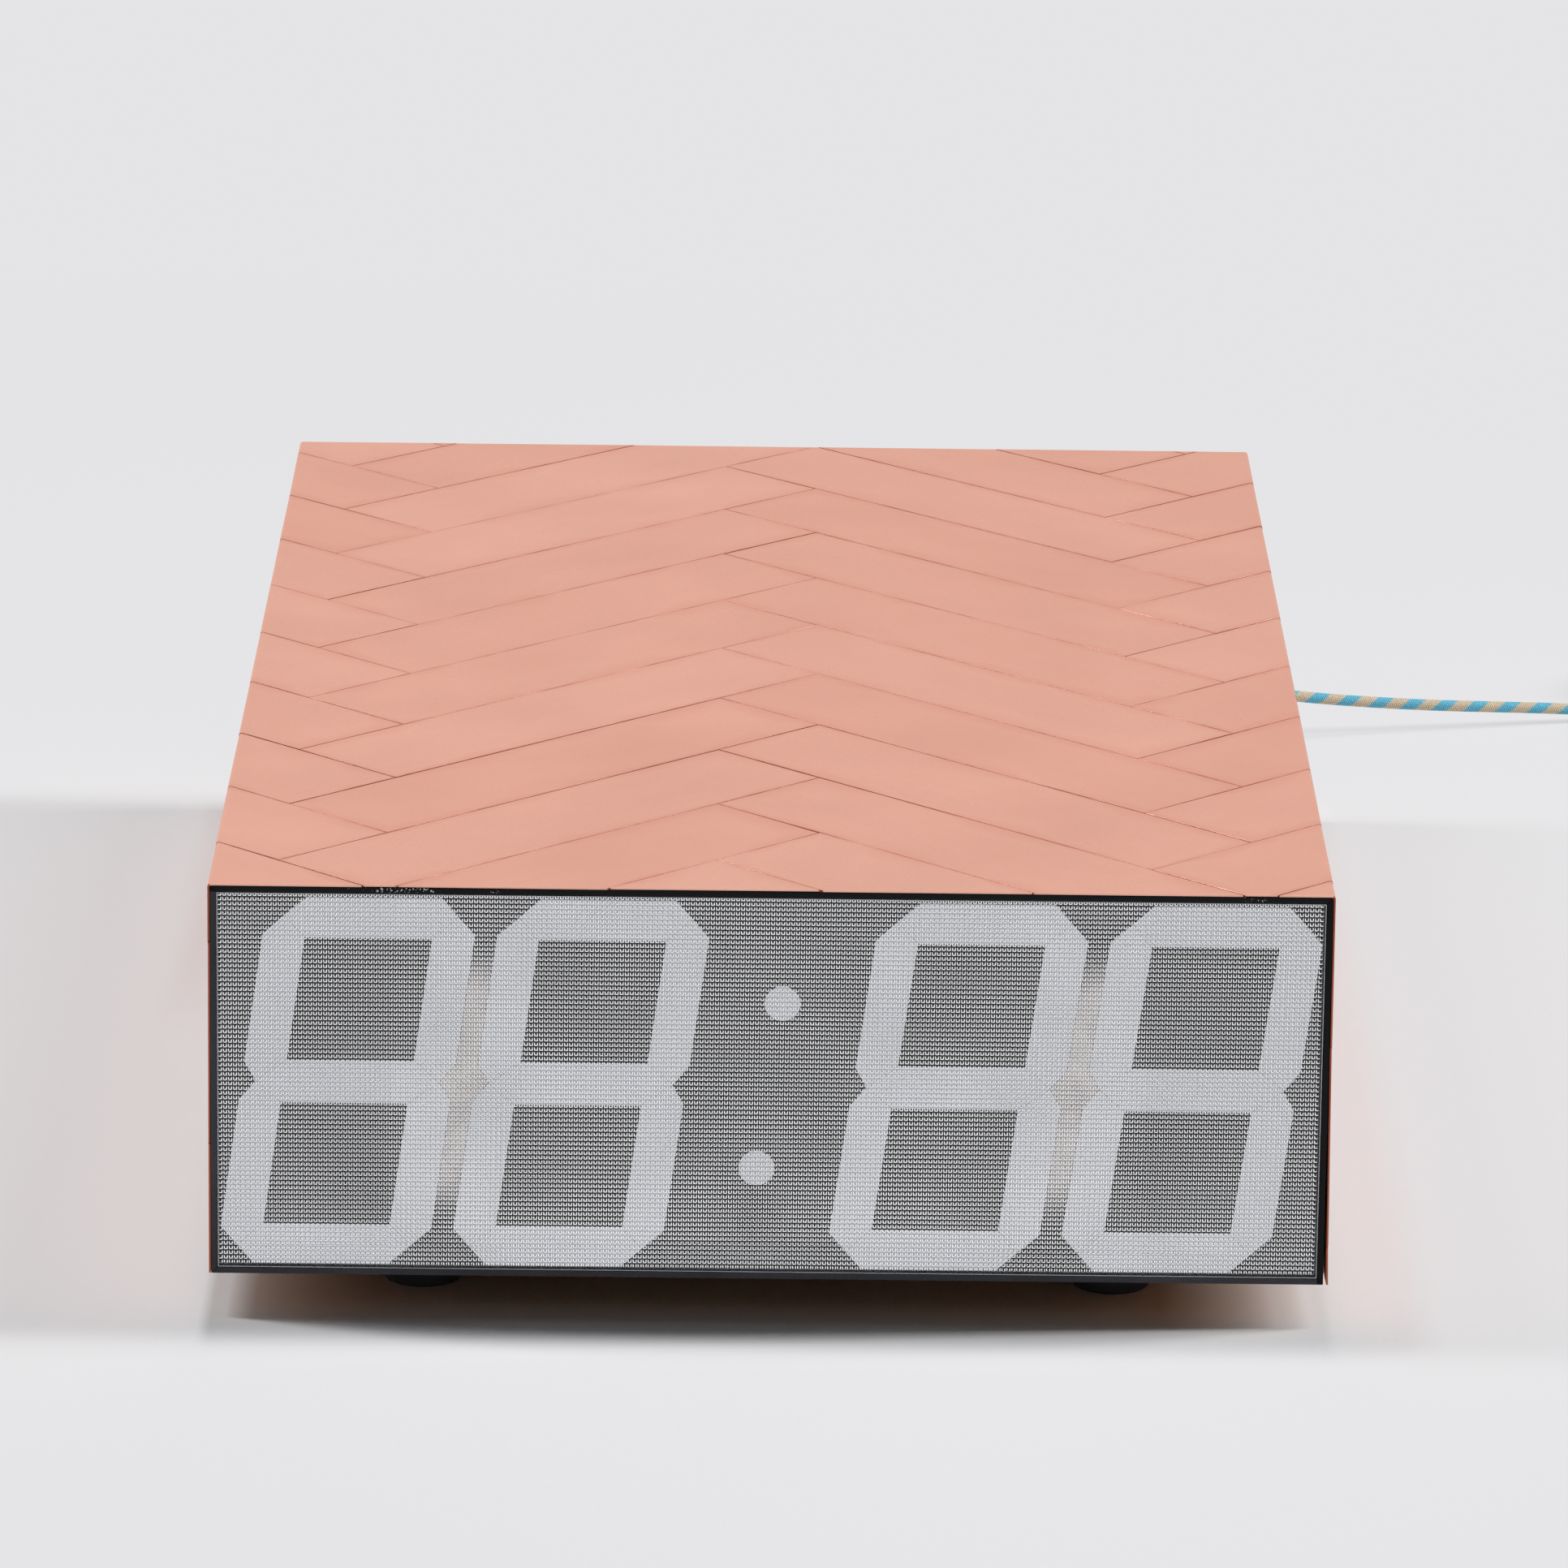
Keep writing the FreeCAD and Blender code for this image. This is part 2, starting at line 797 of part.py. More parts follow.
def board_spacers():
    solids = [spacer(place, Y_AXIS, circuit_spacer) for place in all_circuit_screws()]
    return solids + [spacer(place, Z_AXIS, controller_spacer) for place in controller_screw_places()]


def board_screws():
    grip = circuit_spacer + circuit_thickness
    solids = [board_screw(place + Y_AXIS * grip, -Y_AXIS, grip) for place in all_circuit_screws()]
    tall = controller_spacer + circuit_thickness
    solids += [board_screw(place + Z_AXIS * tall, -Z_AXIS, tall) for place in controller_screw_places()]
    return solids


def controller_screw_holes():
    depth = board_screw_bite + screw_end_gap
    return [rod(board_screw_shank, depth, place, -Z_AXIS) for place in controller_screw_places()]


def link_header_places():
    """Pairs of headers, each joined by a short ribbon, from the left digit to the right one."""
    chain = [(x, header_offset) for x in digit_centres]
    chain.insert(2, (0.0, colon_header_offset))
    pairs = []
    for (x_left, out_left), (x_right, out_right) in zip(chain, chain[1:]):
        pairs.append((x_left + out_left, x_right - out_right))
    return pairs


def circuit_header(x, z):
    return box(
        x - header_width / 2, x + header_width / 2,
        circuit_back_y, circuit_back_y + header_height,
        z - header_length / 2, z + header_length / 2,
    )


def feed_places():
    """Where the controller's ribbon leaves the colon board and where it meets the controller."""
    y = front_y + controller_from_front + controller_depth / 4
    top = inner_floor + controller_spacer + circuit_thickness + header_height
    upper = Vector(0, circuit_back_y + header_height, digit_z - feed_header_drop)
    return upper, Vector(0, y, top)


def ribbon_headers():
    solids = []
    for left, right in link_header_places():
        solids.append(circuit_header(left, digit_z))
        solids.append(circuit_header(right, digit_z))
    upper, lower = feed_places()
    solids.append(box(
        -header_length / 2, header_length / 2,
        circuit_back_y, upper.y,
        upper.z - header_width / 2, upper.z + header_width / 2,
    ))
    solids.append(box(
        -header_length / 2, header_length / 2,
        lower.y - header_width / 2, lower.y + header_width / 2,
        lower.z - header_height, lower.z,
    ))
    return solids


def ribbon_cables():
    y = circuit_back_y + header_height
    solids = []
    for left, right in link_header_places():
        points = [
            Vector(left, y, digit_z),
            Vector(left, y + ribbon_reach, digit_z),
            Vector(right, y + ribbon_reach, digit_z),
            Vector(right, y, digit_z),
        ]
        solids.append(ribbon(points, Z_AXIS, ribbon_width))
    upper, lower = feed_places()
    corner = Vector(0, lower.y, upper.z)
    solids.append(ribbon([upper, corner, lower], X_AXIS, ribbon_width))
    return solids


def controller_board():
    y_low = front_y + controller_from_front
    z_low = inner_floor + controller_spacer
    half = controller_width / 2
    board = box(-half, half, y_low, y_low + controller_depth, z_low, z_low + circuit_thickness)
    hole = board_screw_shank + 2 * screw_hole_clearance
    tall = controller_spacer + circuit_thickness
    return board.cut([rod(hole, tall, place, Z_AXIS) for place in controller_screw_places()])


def chip(pins, x, y):
    """A dual in-line chip on the controller, with its long side along X."""
    z = inner_floor + controller_spacer + circuit_thickness
    length = pins / 2 * chip_pitch
    half = chip_width / 2
    lead_half = chip_lead_width / 2
    body = box(x - length / 2, x + length / 2, y - half, y + half, z + chip_lead, z + chip_lead + chip_height)
    solids = [body]
    for i in range(pins // 2):
        lead_x = x - length / 2 + (i + 0.5) * chip_pitch
        for side in (-1, 1):
            edge = y + side * half
            y_low = min(edge, edge + side * chip_lead)
            x_low = lead_x - lead_half
            lead = box(x_low, x_low + chip_lead_width, y_low, y_low + chip_lead, z, z + chip_height / 2)
            solids.append(lead)
    return fuse_all(solids)


def controller_y(row):
    return front_y + controller_from_front + row


def controller_chips():
    """The clock chip, and the three chips that drive the lamps."""
    chips = [chip(clock_pin_count, clock_chip_x, controller_y(clock_chip_row))]
    for i in (-1, 0, 1):
        chips.append(chip(driver_pin_count, i * driver_chip_spacing, controller_y(driver_chip_row)))
    return chips


def quartz_crystal():
    z = inner_floor + controller_spacer + circuit_thickness + crystal_diameter / 2
    return rod(crystal_diameter, crystal_length, Vector(crystal_x, controller_y(crystal_row), z), X_AXIS)


def cell_centre():
    z = inner_floor + controller_spacer + circuit_thickness
    return Vector(cell_x, controller_y(cell_row), z)


def coin_cell_holder():
    centre = cell_centre()
    inner = cell_diameter + 2 * cell_clearance
    cup = rod(inner + 2 * cell_wall, cell_thickness + cell_wall, centre, Z_AXIS)
    well = rod(inner, cell_thickness + cell_wall, centre + Z_AXIS * cell_wall, Z_AXIS)
    half = cell_diameter / 4
    mouth = box(-half, half, -cell_diameter, 0, cell_wall, cell_wall + cell_thickness)
    mouth.translate(centre)
    return cup.cut([well, mouth])


def coin_cell():
    return rod(cell_diameter, cell_thickness, cell_centre() + Z_AXIS * cell_wall, Z_AXIS)


def supply_corner():
    return Vector(supply_x, back_y - supply_from_back - supply_depth, inner_floor)


def power_supply_tray():
    corner = supply_corner()
    wall = supply_wall
    tray = Part.makeBox(supply_width, supply_depth, supply_height, corner)
    inside = corner + Vector(wall, 0, wall)
    hollow = Part.makeBox(supply_width - 2 * wall, supply_depth, supply_height, inside)
    return tray.cut([hollow] + supply_screw_holes())


def supply_screw_places():
    corner = supply_corner()
    y = corner.y + supply_depth - terminal_depth / 2
    x_low = corner.x + supply_screw_edge
    x_high = corner.x + supply_width - supply_screw_edge
    return [Vector(x, y, corner.z + supply_wall) for x in (x_low, x_high)]


def power_supply_screws():
    solids = []
    for place in supply_screw_places():
        head = rod(board_screw_head, board_screw_head_height, place, Z_AXIS)
        top = place + Z_AXIS * board_screw_head_height
        cross = rod(board_screw_recess, board_screw_recess_depth, top, -Z_AXIS)
        shank = rod(board_screw_shank, supply_wall + supply_screw_bite, place, -Z_AXIS)
        solids.append(fuse_all([head, shank]).cut(cross))
    return solids


def supply_screw_holes():
    depth = supply_wall + supply_screw_bite + screw_end_gap
    return [rod(board_screw_shank, depth, place, -Z_AXIS) for place in supply_screw_places()]


def power_supply_cover():
    corner = supply_corner()
    wall = supply_wall
    low = corner + Vector(wall + supply_fit, wall, wall + supply_fit)
    inner_width = supply_width - 2 * (wall + supply_fit)
    front = Part.makeBox(inner_width, wall, supply_height - wall - supply_fit, low)
    roof = Part.makeBox(supply_width, supply_depth - wall, wall, corner + Vector(0, wall, supply_height))
    y_low = corner.y + vent_margin
    y_high = corner.y + supply_depth - vent_margin
    vents = []
    for i in range(vent_count):
        x = corner.x + vent_margin + i * vent_pitch
        vents.append(box(x, x + vent_width, y_low, y_high, inner_floor, inner_ceiling))
    return fuse_all([front, roof.cut(vents)])


def power_supply_circuit():
    corner = supply_corner()
    wall = supply_wall
    edge = supply_circuit_edge
    low = corner + Vector(wall + edge, 2 * wall + edge, wall + supply_circuit_gap)
    width = supply_width - 2 * (wall + edge)
    depth = supply_depth - 2 * (wall + edge) - terminal_depth
    board = Part.makeBox(width, depth, circuit_thickness, low)
    posts = []
    for x in (low.x + supply_post_edge, low.x + width - supply_post_edge):
        for y in (low.y + supply_post_edge, low.y + depth - supply_post_edge):
            posts.append(rod(spacer_diameter, supply_circuit_gap, Vector(x, y, corner.z + wall), Z_AXIS))
    top = low.z + circuit_thickness
    size = transformer_size
    core_x = low.x + (width - size) / 2
    core = Part.makeBox(size, size, transformer_height, Vector(core_x, low.y + transformer_y, top))
    cans = []
    for x in (low.x + capacitor_edge, low.x + width - capacitor_edge):
        cans.append(rod(capacitor_diameter, capacitor_height, Vector(x, low.y + capacitor_y, top), Z_AXIS))
    return [board, core] + posts + cans


def terminal_block():
    corner = supply_corner()
    width = terminal_ways * terminal_pitch
    x_low = corner.x + supply_width / 2 - width / 2
    y_low = corner.y + supply_depth - terminal_depth
    z_low = corner.z + supply_wall
    block = Part.makeBox(width, terminal_depth, terminal_height, Vector(x_low, y_low, z_low))
    wells = []
    for i in range(terminal_ways):
        x = x_low + (i + 0.5) * terminal_pitch
        mouth = Vector(x, y_low + terminal_depth / 2, z_low + terminal_height)
        wells.append(rod(terminal_well, terminal_well, mouth, -Z_AXIS))
    return block.cut(wells)


def mains_lead():
    """From the inner end of the gland down to the terminal block."""
    start_y = panel_inner_y - (gland_thread_length - panel_thickness)
    corner = supply_corner()
    block_y = corner.y + supply_depth
    block_x = corner.x + supply_width / 2
    block_z = corner.z + supply_wall + terminal_height / 2
    points = [
        Vector(gland_x, start_y, gland_z),
        Vector(gland_x, start_y - 26, gland_z),
        Vector(gland_x - 8, start_y - 50, gland_z - 9),
        Vector(gland_x - 24, block_y + 38, block_z + 6),
        Vector(block_x, block_y + 20, block_z),
        Vector(block_x, block_y, block_z),
    ]
    return round_tube(route_wire(points)[0], lead_diameter)


def low_voltage_lead():
    """Along the floor of the case from the power supply to the controller."""
    corner = supply_corner()
    z = inner_floor + low_lead_diameter / 2 + lead_clearance
    end_y = front_y + controller_from_front + controller_depth
    end_z = inner_floor + controller_spacer + circuit_thickness + low_lead_diameter / 2
    points = [
        Vector(corner.x + 20, corner.y, z + supply_wall + 6),
        Vector(corner.x + 20, corner.y - 30, z + 5),
        Vector(corner.x + 14, corner.y - 62, z),
        Vector(corner.x - 6, corner.y - 112, z),
        Vector(24, -60, z),
        Vector(14, -120, z),
        Vector(10, -170, z),
        Vector(8, end_y + 34, z + 1),
        Vector(6, end_y + 14, end_z),
        Vector(6, end_y - 6, end_z),
    ]
    return round_tube(route_wire(points)[0], low_lead_diameter)


def switch_leads():
    """A thin lead from each tab of the power switch down to the terminal block."""
    corner = supply_corner()
    block_x = corner.x + supply_width / 2
    block_y = corner.y + supply_depth
    block_z = corner.z + supply_wall + terminal_height / 2
    start_y = panel_outer_y - switch_depth - switch_tab_length
    solids = []
    for side in (-1, 1):
        tab_z = switch_z + side * switch_tab_offset
        end_x = block_x - terminal_pitch * (1 if side > 0 else 2)
        points = [
            Vector(switch_x, start_y, tab_z),
            Vector(switch_x, start_y - 22, tab_z),
            Vector(switch_x - 1, start_y - 46, tab_z - 12),
            Vector(end_x, block_y + 34, block_z + 12 + side * 3),
            Vector(end_x, block_y + 16, block_z),
            Vector(end_x, block_y, block_z),
        ]
        solids.append(round_tube(route_wire(points)[0], thin_lead_diameter))
    return solids


def button_leads():
    """A thin lead from the back of each set button, along the floor, to the controller."""
    start_y = panel_outer_y + bezel_thickness - button_depth - button_case_depth
    end_y = front_y + controller_from_front + controller_depth
    z = inner_floor + thin_lead_diameter / 2 + lead_clearance
    end_z = inner_floor + controller_spacer + circuit_thickness + thin_lead_diameter / 2
    solids = []
    for i, place in enumerate(button_places()):
        x = thin_lead_lane + i * thin_lead_pitch
        points = [
            Vector(place.x, start_y, place.z),
            Vector(place.x, start_y - 24, place.z),
            Vector((place.x + x) / 2, start_y - 56, place.z - 22),
            Vector(x, start_y - 92, z),
            Vector(x - 3, start_y - 144, z),
            Vector(x, start_y - 200, z),
            Vector(x + 4, start_y - 256, z),
            Vector(x + 4, start_y - 312, z),
            Vector(x, start_y - 368, z),
            Vector(x + 3, start_y - 424, z),
            Vector(x + 16, start_y - 476, z),
            Vector(x + 30, end_y + 36, z + 2),
            Vector(x + 32, end_y + 14, end_z),
            Vector(x + 32, end_y - 6, end_z),
        ]
        solids.append(round_tube(route_wire(points)[0], thin_lead_diameter))
    return solids


def button_body(place):
    bezel_y = place + Y_AXIS * bezel_thickness
    bezel = rod(bezel_diameter, bezel_thickness, bezel_y, -Y_AXIS)
    bezel = bezel.makeChamfer(bezel_chamfer, [bezel.Edges[0]])
    bushing = rod(bushing_diameter, button_depth, bezel_y, -Y_AXIS)
    half = button_case_size / 2
    case_y = bezel_y.y - button_depth
    case = box(
        place.x - half, place.x + half,
        case_y - button_case_depth, case_y,
        place.z - half, place.z + half,
    )
    mouth = rod(cap_diameter + 2 * cap_clearance, bezel_thickness, bezel_y, -Y_AXIS)
    well_depth = button_depth - button_well_floor
    well = rod(cap_skirt_diameter + 2 * cap_clearance, well_depth, place, -Y_AXIS)
    return fuse_all([bezel, bushing, case]).cut([mouth, well])


def skirt_front(place):
    return place - Y_AXIS * skirt_gap


def button_cap(place):
    tip = place.y + bezel_thickness + cap_proud
    stem_length = tip - skirt_front(place).y
    stem = rod(cap_diameter, stem_length, skirt_front(place), Y_AXIS)
    stem = stem.makeFillet(cap_round, [edge for edge in stem.Edges if abs(edge.BoundBox.YMin - tip) < 0.01])
    skirt = rod(cap_skirt_diameter, cap_skirt_height, skirt_front(place), -Y_AXIS)
    return fuse_all([stem, skirt])


def button_spring(place):
    """A coil spring between the cap's skirt and the bottom of its well."""
    end = spring_wire / 2 + spring_end_gap
    top = skirt_front(place).y - cap_skirt_height - end
    bottom = place.y - (button_depth - button_well_floor) + end
    radius = (spring_diameter - spring_wire) / 2
    rise = (bottom - top) / spring_turns
    slope = Vector(0, rise / (2 * math.pi * radius), 0)
    wire = []
    quarters = spring_turns * 4
    for i in range(quarters):
        ends = []
        for step in (i, i + 1):
            angle = step * math.pi / 2
            x = place.x + radius * math.cos(angle)
            z = place.z + radius * math.sin(angle)
            point = Vector(x, top + rise * step / 4, z)
            heading = (Vector(-math.sin(angle), 0, math.cos(angle)) + slope).normalize()
            ends.append((point, heading))
        wire += biarc(ends[0], ends[1])
    return round_tube(Part.Wire(wire), spring_wire)


def button_nut(place):
    seat = place - Y_AXIS * panel_thickness
    nut = hexagon(button_nut_diameter, button_nut_thickness, seat, -Y_AXIS)
    hole = rod(bushing_diameter + 2 * pin_clearance, button_nut_thickness, seat, -Y_AXIS)
    return nut.cut(hole)


def hexagon(across_corners, length, start, axis):
    points = []
    for i in range(6):
        angle = math.radians(60 * i + 30)
        reach = across_corners / 2
        points.append(start + Vector(reach * math.cos(angle), 0, reach * math.sin(angle)))
    return polygon(points).extrude(axis * length)


def switch_centre():
    return Vector(switch_x, panel_outer_y, switch_z)


def rocker_pivot():
    return switch_centre() + Y_AXIS * (switch_bezel_thickness - rocker_pivot_depth)


def rocker_housing():
    centre = switch_centre()
    half_width = switch_width / 2
    half_length = switch_length / 2
    flange = box(
        centre.x - half_width - switch_bezel, centre.x + half_width + switch_bezel,
        centre.y, centre.y + switch_bezel_thickness,
        centre.z - half_length - switch_bezel, centre.z + half_length + switch_bezel,
    )
    body = box(
        centre.x - half_width, centre.x + half_width,
        centre.y - switch_depth, centre.y,
        centre.z - half_length, centre.z + half_length,
    )
    well_half = rocker_width / 2 + rocker_clearance
    well_length = rocker_length / 2 + rocker_end_clearance
    face_y = centre.y + switch_bezel_thickness
    well = box(
        centre.x - well_half, centre.x + well_half,
        face_y - rocker_well_depth, face_y,
        centre.z - well_length, centre.z + well_length,
    )
    tabs = []
    for side in (-1, 1):
        z = centre.z + side * switch_tab_offset
        tab_y = centre.y - switch_depth
        x = centre.x - switch_tab_width / 2
        low = z - switch_tab_thickness / 2
        high = z + switch_tab_thickness / 2
        tabs.append(box(x, x + switch_tab_width, tab_y - switch_tab_length, tab_y, low, high))
    shell = fuse_all([flange, body] + tabs)
    hole_half = half_width - rocker_pin_inset + rocker_pin_end_gap
    pin_start = rocker_pivot() - X_AXIS * hole_half
    pin_hole = rod(rocker_pin_diameter + 2 * pin_clearance, 2 * hole_half, pin_start, X_AXIS)
    return shell.cut([well, pin_hole])


def power_rocker():
    """Built level about its pivot and then tipped to the off side."""
    half = rocker_length / 2
    heel = rocker_heel_length / 2
    crown = rocker_crown
    outline = [
        (-half, rocker_shoulder),
        (-half, crown),
        (0, crown - rocker_dip),
        (half, crown),
        (half, rocker_shoulder),
        (heel, -rocker_heel_depth),
        (-heel, -rocker_heel_depth),
    ]
    pivot = rocker_pivot()
    start_x = pivot.x - rocker_width / 2
    face = polygon([Vector(start_x, pivot.y + y, pivot.z + z) for z, y in outline])
    body = face.extrude(X_AXIS * rocker_width)
    hole_start = Vector(start_x, pivot.y, pivot.z)
    hole = rod(rocker_pin_diameter + 2 * pin_clearance, rocker_width, hole_start, X_AXIS)
    body = body.cut(hole)
    body.rotate(pivot, X_AXIS, -rocker_tilt)
    return body


def rocker_pin():
    length = switch_width - 2 * rocker_pin_inset
    return rod(rocker_pin_diameter, length, rocker_pivot() - X_AXIS * (length / 2), X_AXIS)


def gland_start():
    return Vector(gland_x, panel_outer_y, gland_z)


def cord_gland():
    start = gland_start()
    bore_length = gland_thread_length + gland_hex_thickness + gland_nose_length
    bore_start = start - Y_AXIS * gland_thread_length
    bore = rod(cord_diameter + 2 * gland_bore_clearance, bore_length, bore_start, Y_AXIS)
    collar = hexagon(gland_hex, gland_hex_thickness, start, Y_AXIS)
    nose = rod(gland_nose_diameter, gland_nose_length, start + Y_AXIS * gland_hex_thickness, Y_AXIS)
    rim = [edge for edge in nose.Edges if abs(edge.BoundBox.YMin - gland_end_y) < 0.01]
    nose = nose.makeChamfer(gland_chamfer, rim)
    thread = rod(gland_thread, gland_thread_length, start, -Y_AXIS)
    return fuse_all([collar, nose, thread]).cut(bore)


def gland_nut():
    seat = gland_start() - Y_AXIS * panel_thickness
    nut = hexagon(gland_hex, gland_nut_thickness, seat, -Y_AXIS)
    return nut.cut(rod(gland_thread + 2 * pin_clearance, gland_nut_thickness, seat, -Y_AXIS))


def strain_relief():
    start = Vector(gland_x, gland_end_y, gland_z)
    body = cone(relief_root, relief_tip, relief_length, start, Y_AXIS)
    grooves = []
    width = relief_groove_width
    for i in range(relief_groove_count):
        at = relief_groove_start + i * relief_groove_pitch
        outer = relief_root - (relief_root - relief_tip) * at / relief_length
        ring = rod(relief_root, width, start + Y_AXIS * at, Y_AXIS)
        core = rod(outer - 2 * relief_groove_depth, width, start + Y_AXIS * at, Y_AXIS)
        grooves.append(ring.cut(core))
    return body.cut(grooves)


def coil_heading():
    angle = math.radians(coil_start_angle + 90)
    return Vector(math.cos(angle), math.sin(angle), 0)


def coil_end_heading():
    angle = math.radians(coil_end_angle + 90)
    return Vector(math.cos(angle), math.sin(angle), 0)


def coil_state(turn):
    """Point and heading of the coil's centre line after so many turns."""
    angle = math.radians(coil_start_angle + 360 * turn)
    middle = coil_turns / 2
    shrink = coil_pitch * min(turn, coil_turns - turn)
    radius = coil_outer_radius - shrink
    climb = min(max((turn - middle) / climb_turns + 0.5, 0), 1)
    height = coil_low_z + (coil_high_z - coil_low_z) * climb
    outward = Vector(math.cos(angle), math.sin(angle), 0)
    point = Vector(coil_x, coil_y, height) + outward * radius
    drift = 0.0
    lift = 0.0
    if abs(turn - middle) < 0.01:
        lift = climb_steepness * (coil_high_z - coil_low_z) / (2 * math.pi * radius * climb_turns)
    elif 0.01 < turn < coil_turns - 0.01:
        drift = math.copysign(coil_pitch / (2 * math.pi * radius), turn - middle)
    around = Vector(-math.sin(angle), math.cos(angle), 0)
    return point, (around + outward * drift + Z_AXIS * lift).normalize()


def arc_from(start, heading, end):
    chord = end - start
    lean = heading.getAngle(chord)
    if lean < 1e-6:
        return Part.LineSegment(start, end).toShape()
    along = Vector(chord).normalize()
    side = (heading - along * heading.dot(along)).normalize()
    middle = start + chord * 0.5 + side * (chord.Length / 2 * math.tan(lean / 2))
    return Part.Arc(start, middle, end).toShape()


def biarc(first, last):
    """Two arcs that leave first and reach last, each a point with a heading."""
    start, leaving = first
    end, arriving = last
    span = end - start
    a = 2 * (1 - leaving.dot(arriving))
    b = 2 * span.dot(leaving + arriving)
    reach = (-b + math.sqrt(b * b + 4 * a * span.dot(span))) / (2 * a)
    joint = (start + end + (leaving - arriving) * reach) * 0.5
    second = arc_from(end, arriving * -1, joint)
    return [arc_from(start, leaving, joint), second]


def coil_wire():
    quarters = math.ceil(layer_turns * 4)
    turns = [layer_turns * i / quarters for i in range(quarters + 1)]
    turns.append(coil_turns / 2)
    turns += [coil_turns - turn for turn in reversed(turns[:-1])]
    states = [coil_state(turn) for turn in turns]
    edges = [Part.LineSegment(coil_entry(), states[0][0]).toShape()]
    for first, last in zip(states, states[1:]):
        edges += biarc(first, last)
    edges.append(Part.LineSegment(states[-1][0], coil_exit()).toShape())
    return Part.Wire(Part.__sortEdges__(edges))


def coil_entry():
    return coil_state(0)[0] - coil_heading() * cord_diameter


def coil_exit():
    return coil_state(coil_turns)[0] + coil_end_heading() * cord_diameter


def least_coil_gap():
    """The least clear distance between two turns of the coil, measured on points."""
    steps = int(coil_turns * points_a_turn)
    points = [coil_state(coil_turns * i / steps)[0] for i in range(steps + 1)]
    nearest = coil_mean_radius
    third = points_a_turn // 3
    for i, point in enumerate(points):
        for other in points[i + third:]:
            nearest = min(nearest, point.distanceToPoint(other))
    return nearest - cord_diameter


def cord_route():
    """Out of the strain relief, down behind the box, and off to the right along the floor."""
    return [
        Vector(gland_x, relief_end_y, gland_z),
        Vector(gland_x, 431, gland_z),
        Vector(154, 459, 57.0),
        Vector(170, 488, 47.0),
        Vector(196, 510, 36.0),
        Vector(228, 526, 26.5),
        Vector(263, 537, 19.5),
        Vector(300, 546, 14.7),
        Vector(337, 554, 11.2),
        Vector(373, 562.5, 8.6),
        Vector(407, 569.5, 6.0),
        coil_entry() - coil_heading() * 30,
        coil_entry(),
    ]


def tail_route():
    """From the coil's upper layer down to the plug, which lies on the floor."""
    start = coil_exit()
    heading = coil_end_heading()
    low = Vector(start.x, start.y, plug_thickness / 2)
    return [start, start + heading * 14, low + heading * 29, low + heading * 43]


def coil_tie():
    """A flat band round both layers of the coil."""
    inner_radius = coil_outer_radius - layer_turns * coil_pitch
    near = inner_radius - cord_diameter / 2 - tie_side_clearance
    far = coil_outer_radius + cord_diameter / 2 + tie_side_clearance
    high = coil_high_z + cord_diameter / 2 + tie_clearance
    band = tie_thickness
    outer = box(near - band, far + band, -tie_width / 2, tie_width / 2, 0, high + band)
    inner = box(near, far, -tie_width / 2, tie_width / 2, band, high)
    outer = round_along_y(outer, tie_round)
    inner = round_along_y(inner, tie_round - band)
    ring = outer.cut(inner)
    ring.rotate(Vector(0, 0, 0), Z_AXIS, tie_angle)
    ring.translate(Vector(coil_x, coil_y, 0))
    return ring


def round_along_y(solid, radius):
    edges = [edge for edge in solid.Edges if edge.BoundBox.YLength > tie_width / 2]
    return solid.makeFillet(radius, edges)


def plug_placed(solid):
    """Turn a solid built along +Y from the origin onto the end of the cord."""
    solid.rotate(Vector(0, 0, 0), Z_AXIS, coil_end_angle)
    end = tail_route()[-1]
    solid.translate(end)
    return solid


def plug_body():
    half = plug_width / 2
    thick = plug_thickness / 2
    start = plug_relief_length
    body = box(-half, half, start, start + plug_length, -thick, thick)
    long_edges = [edge for edge in body.Edges if edge.BoundBox.YLength > plug_length / 2]
    body = body.makeFillet(plug_corner, long_edges)
    relief = cone(plug_relief_tip, plug_relief_root, plug_relief_length, Vector(0, 0, 0), Y_AXIS)
    pockets = []
    end_y = start + plug_length
    for side in (-1, 1):
        x = side * blade_pitch / 2
        pockets.append(box(
            x - blade_thickness / 2, x + blade_thickness / 2,
            end_y - blade_root, end_y,
            -blade_width / 2, blade_width / 2,
        ))
    return plug_placed(fuse_all([body, relief]).cut(pockets))


def plug_blades():
    end_y = plug_relief_length + plug_length
    solids = []
    for side in (-1, 1):
        x = side * blade_pitch / 2
        blade = box(
            x - blade_thickness / 2, x + blade_thickness / 2,
            end_y - blade_root, end_y + blade_length,
            -blade_width / 2, blade_width / 2,
        )
        solids.append(plug_placed(blade))
    return solids


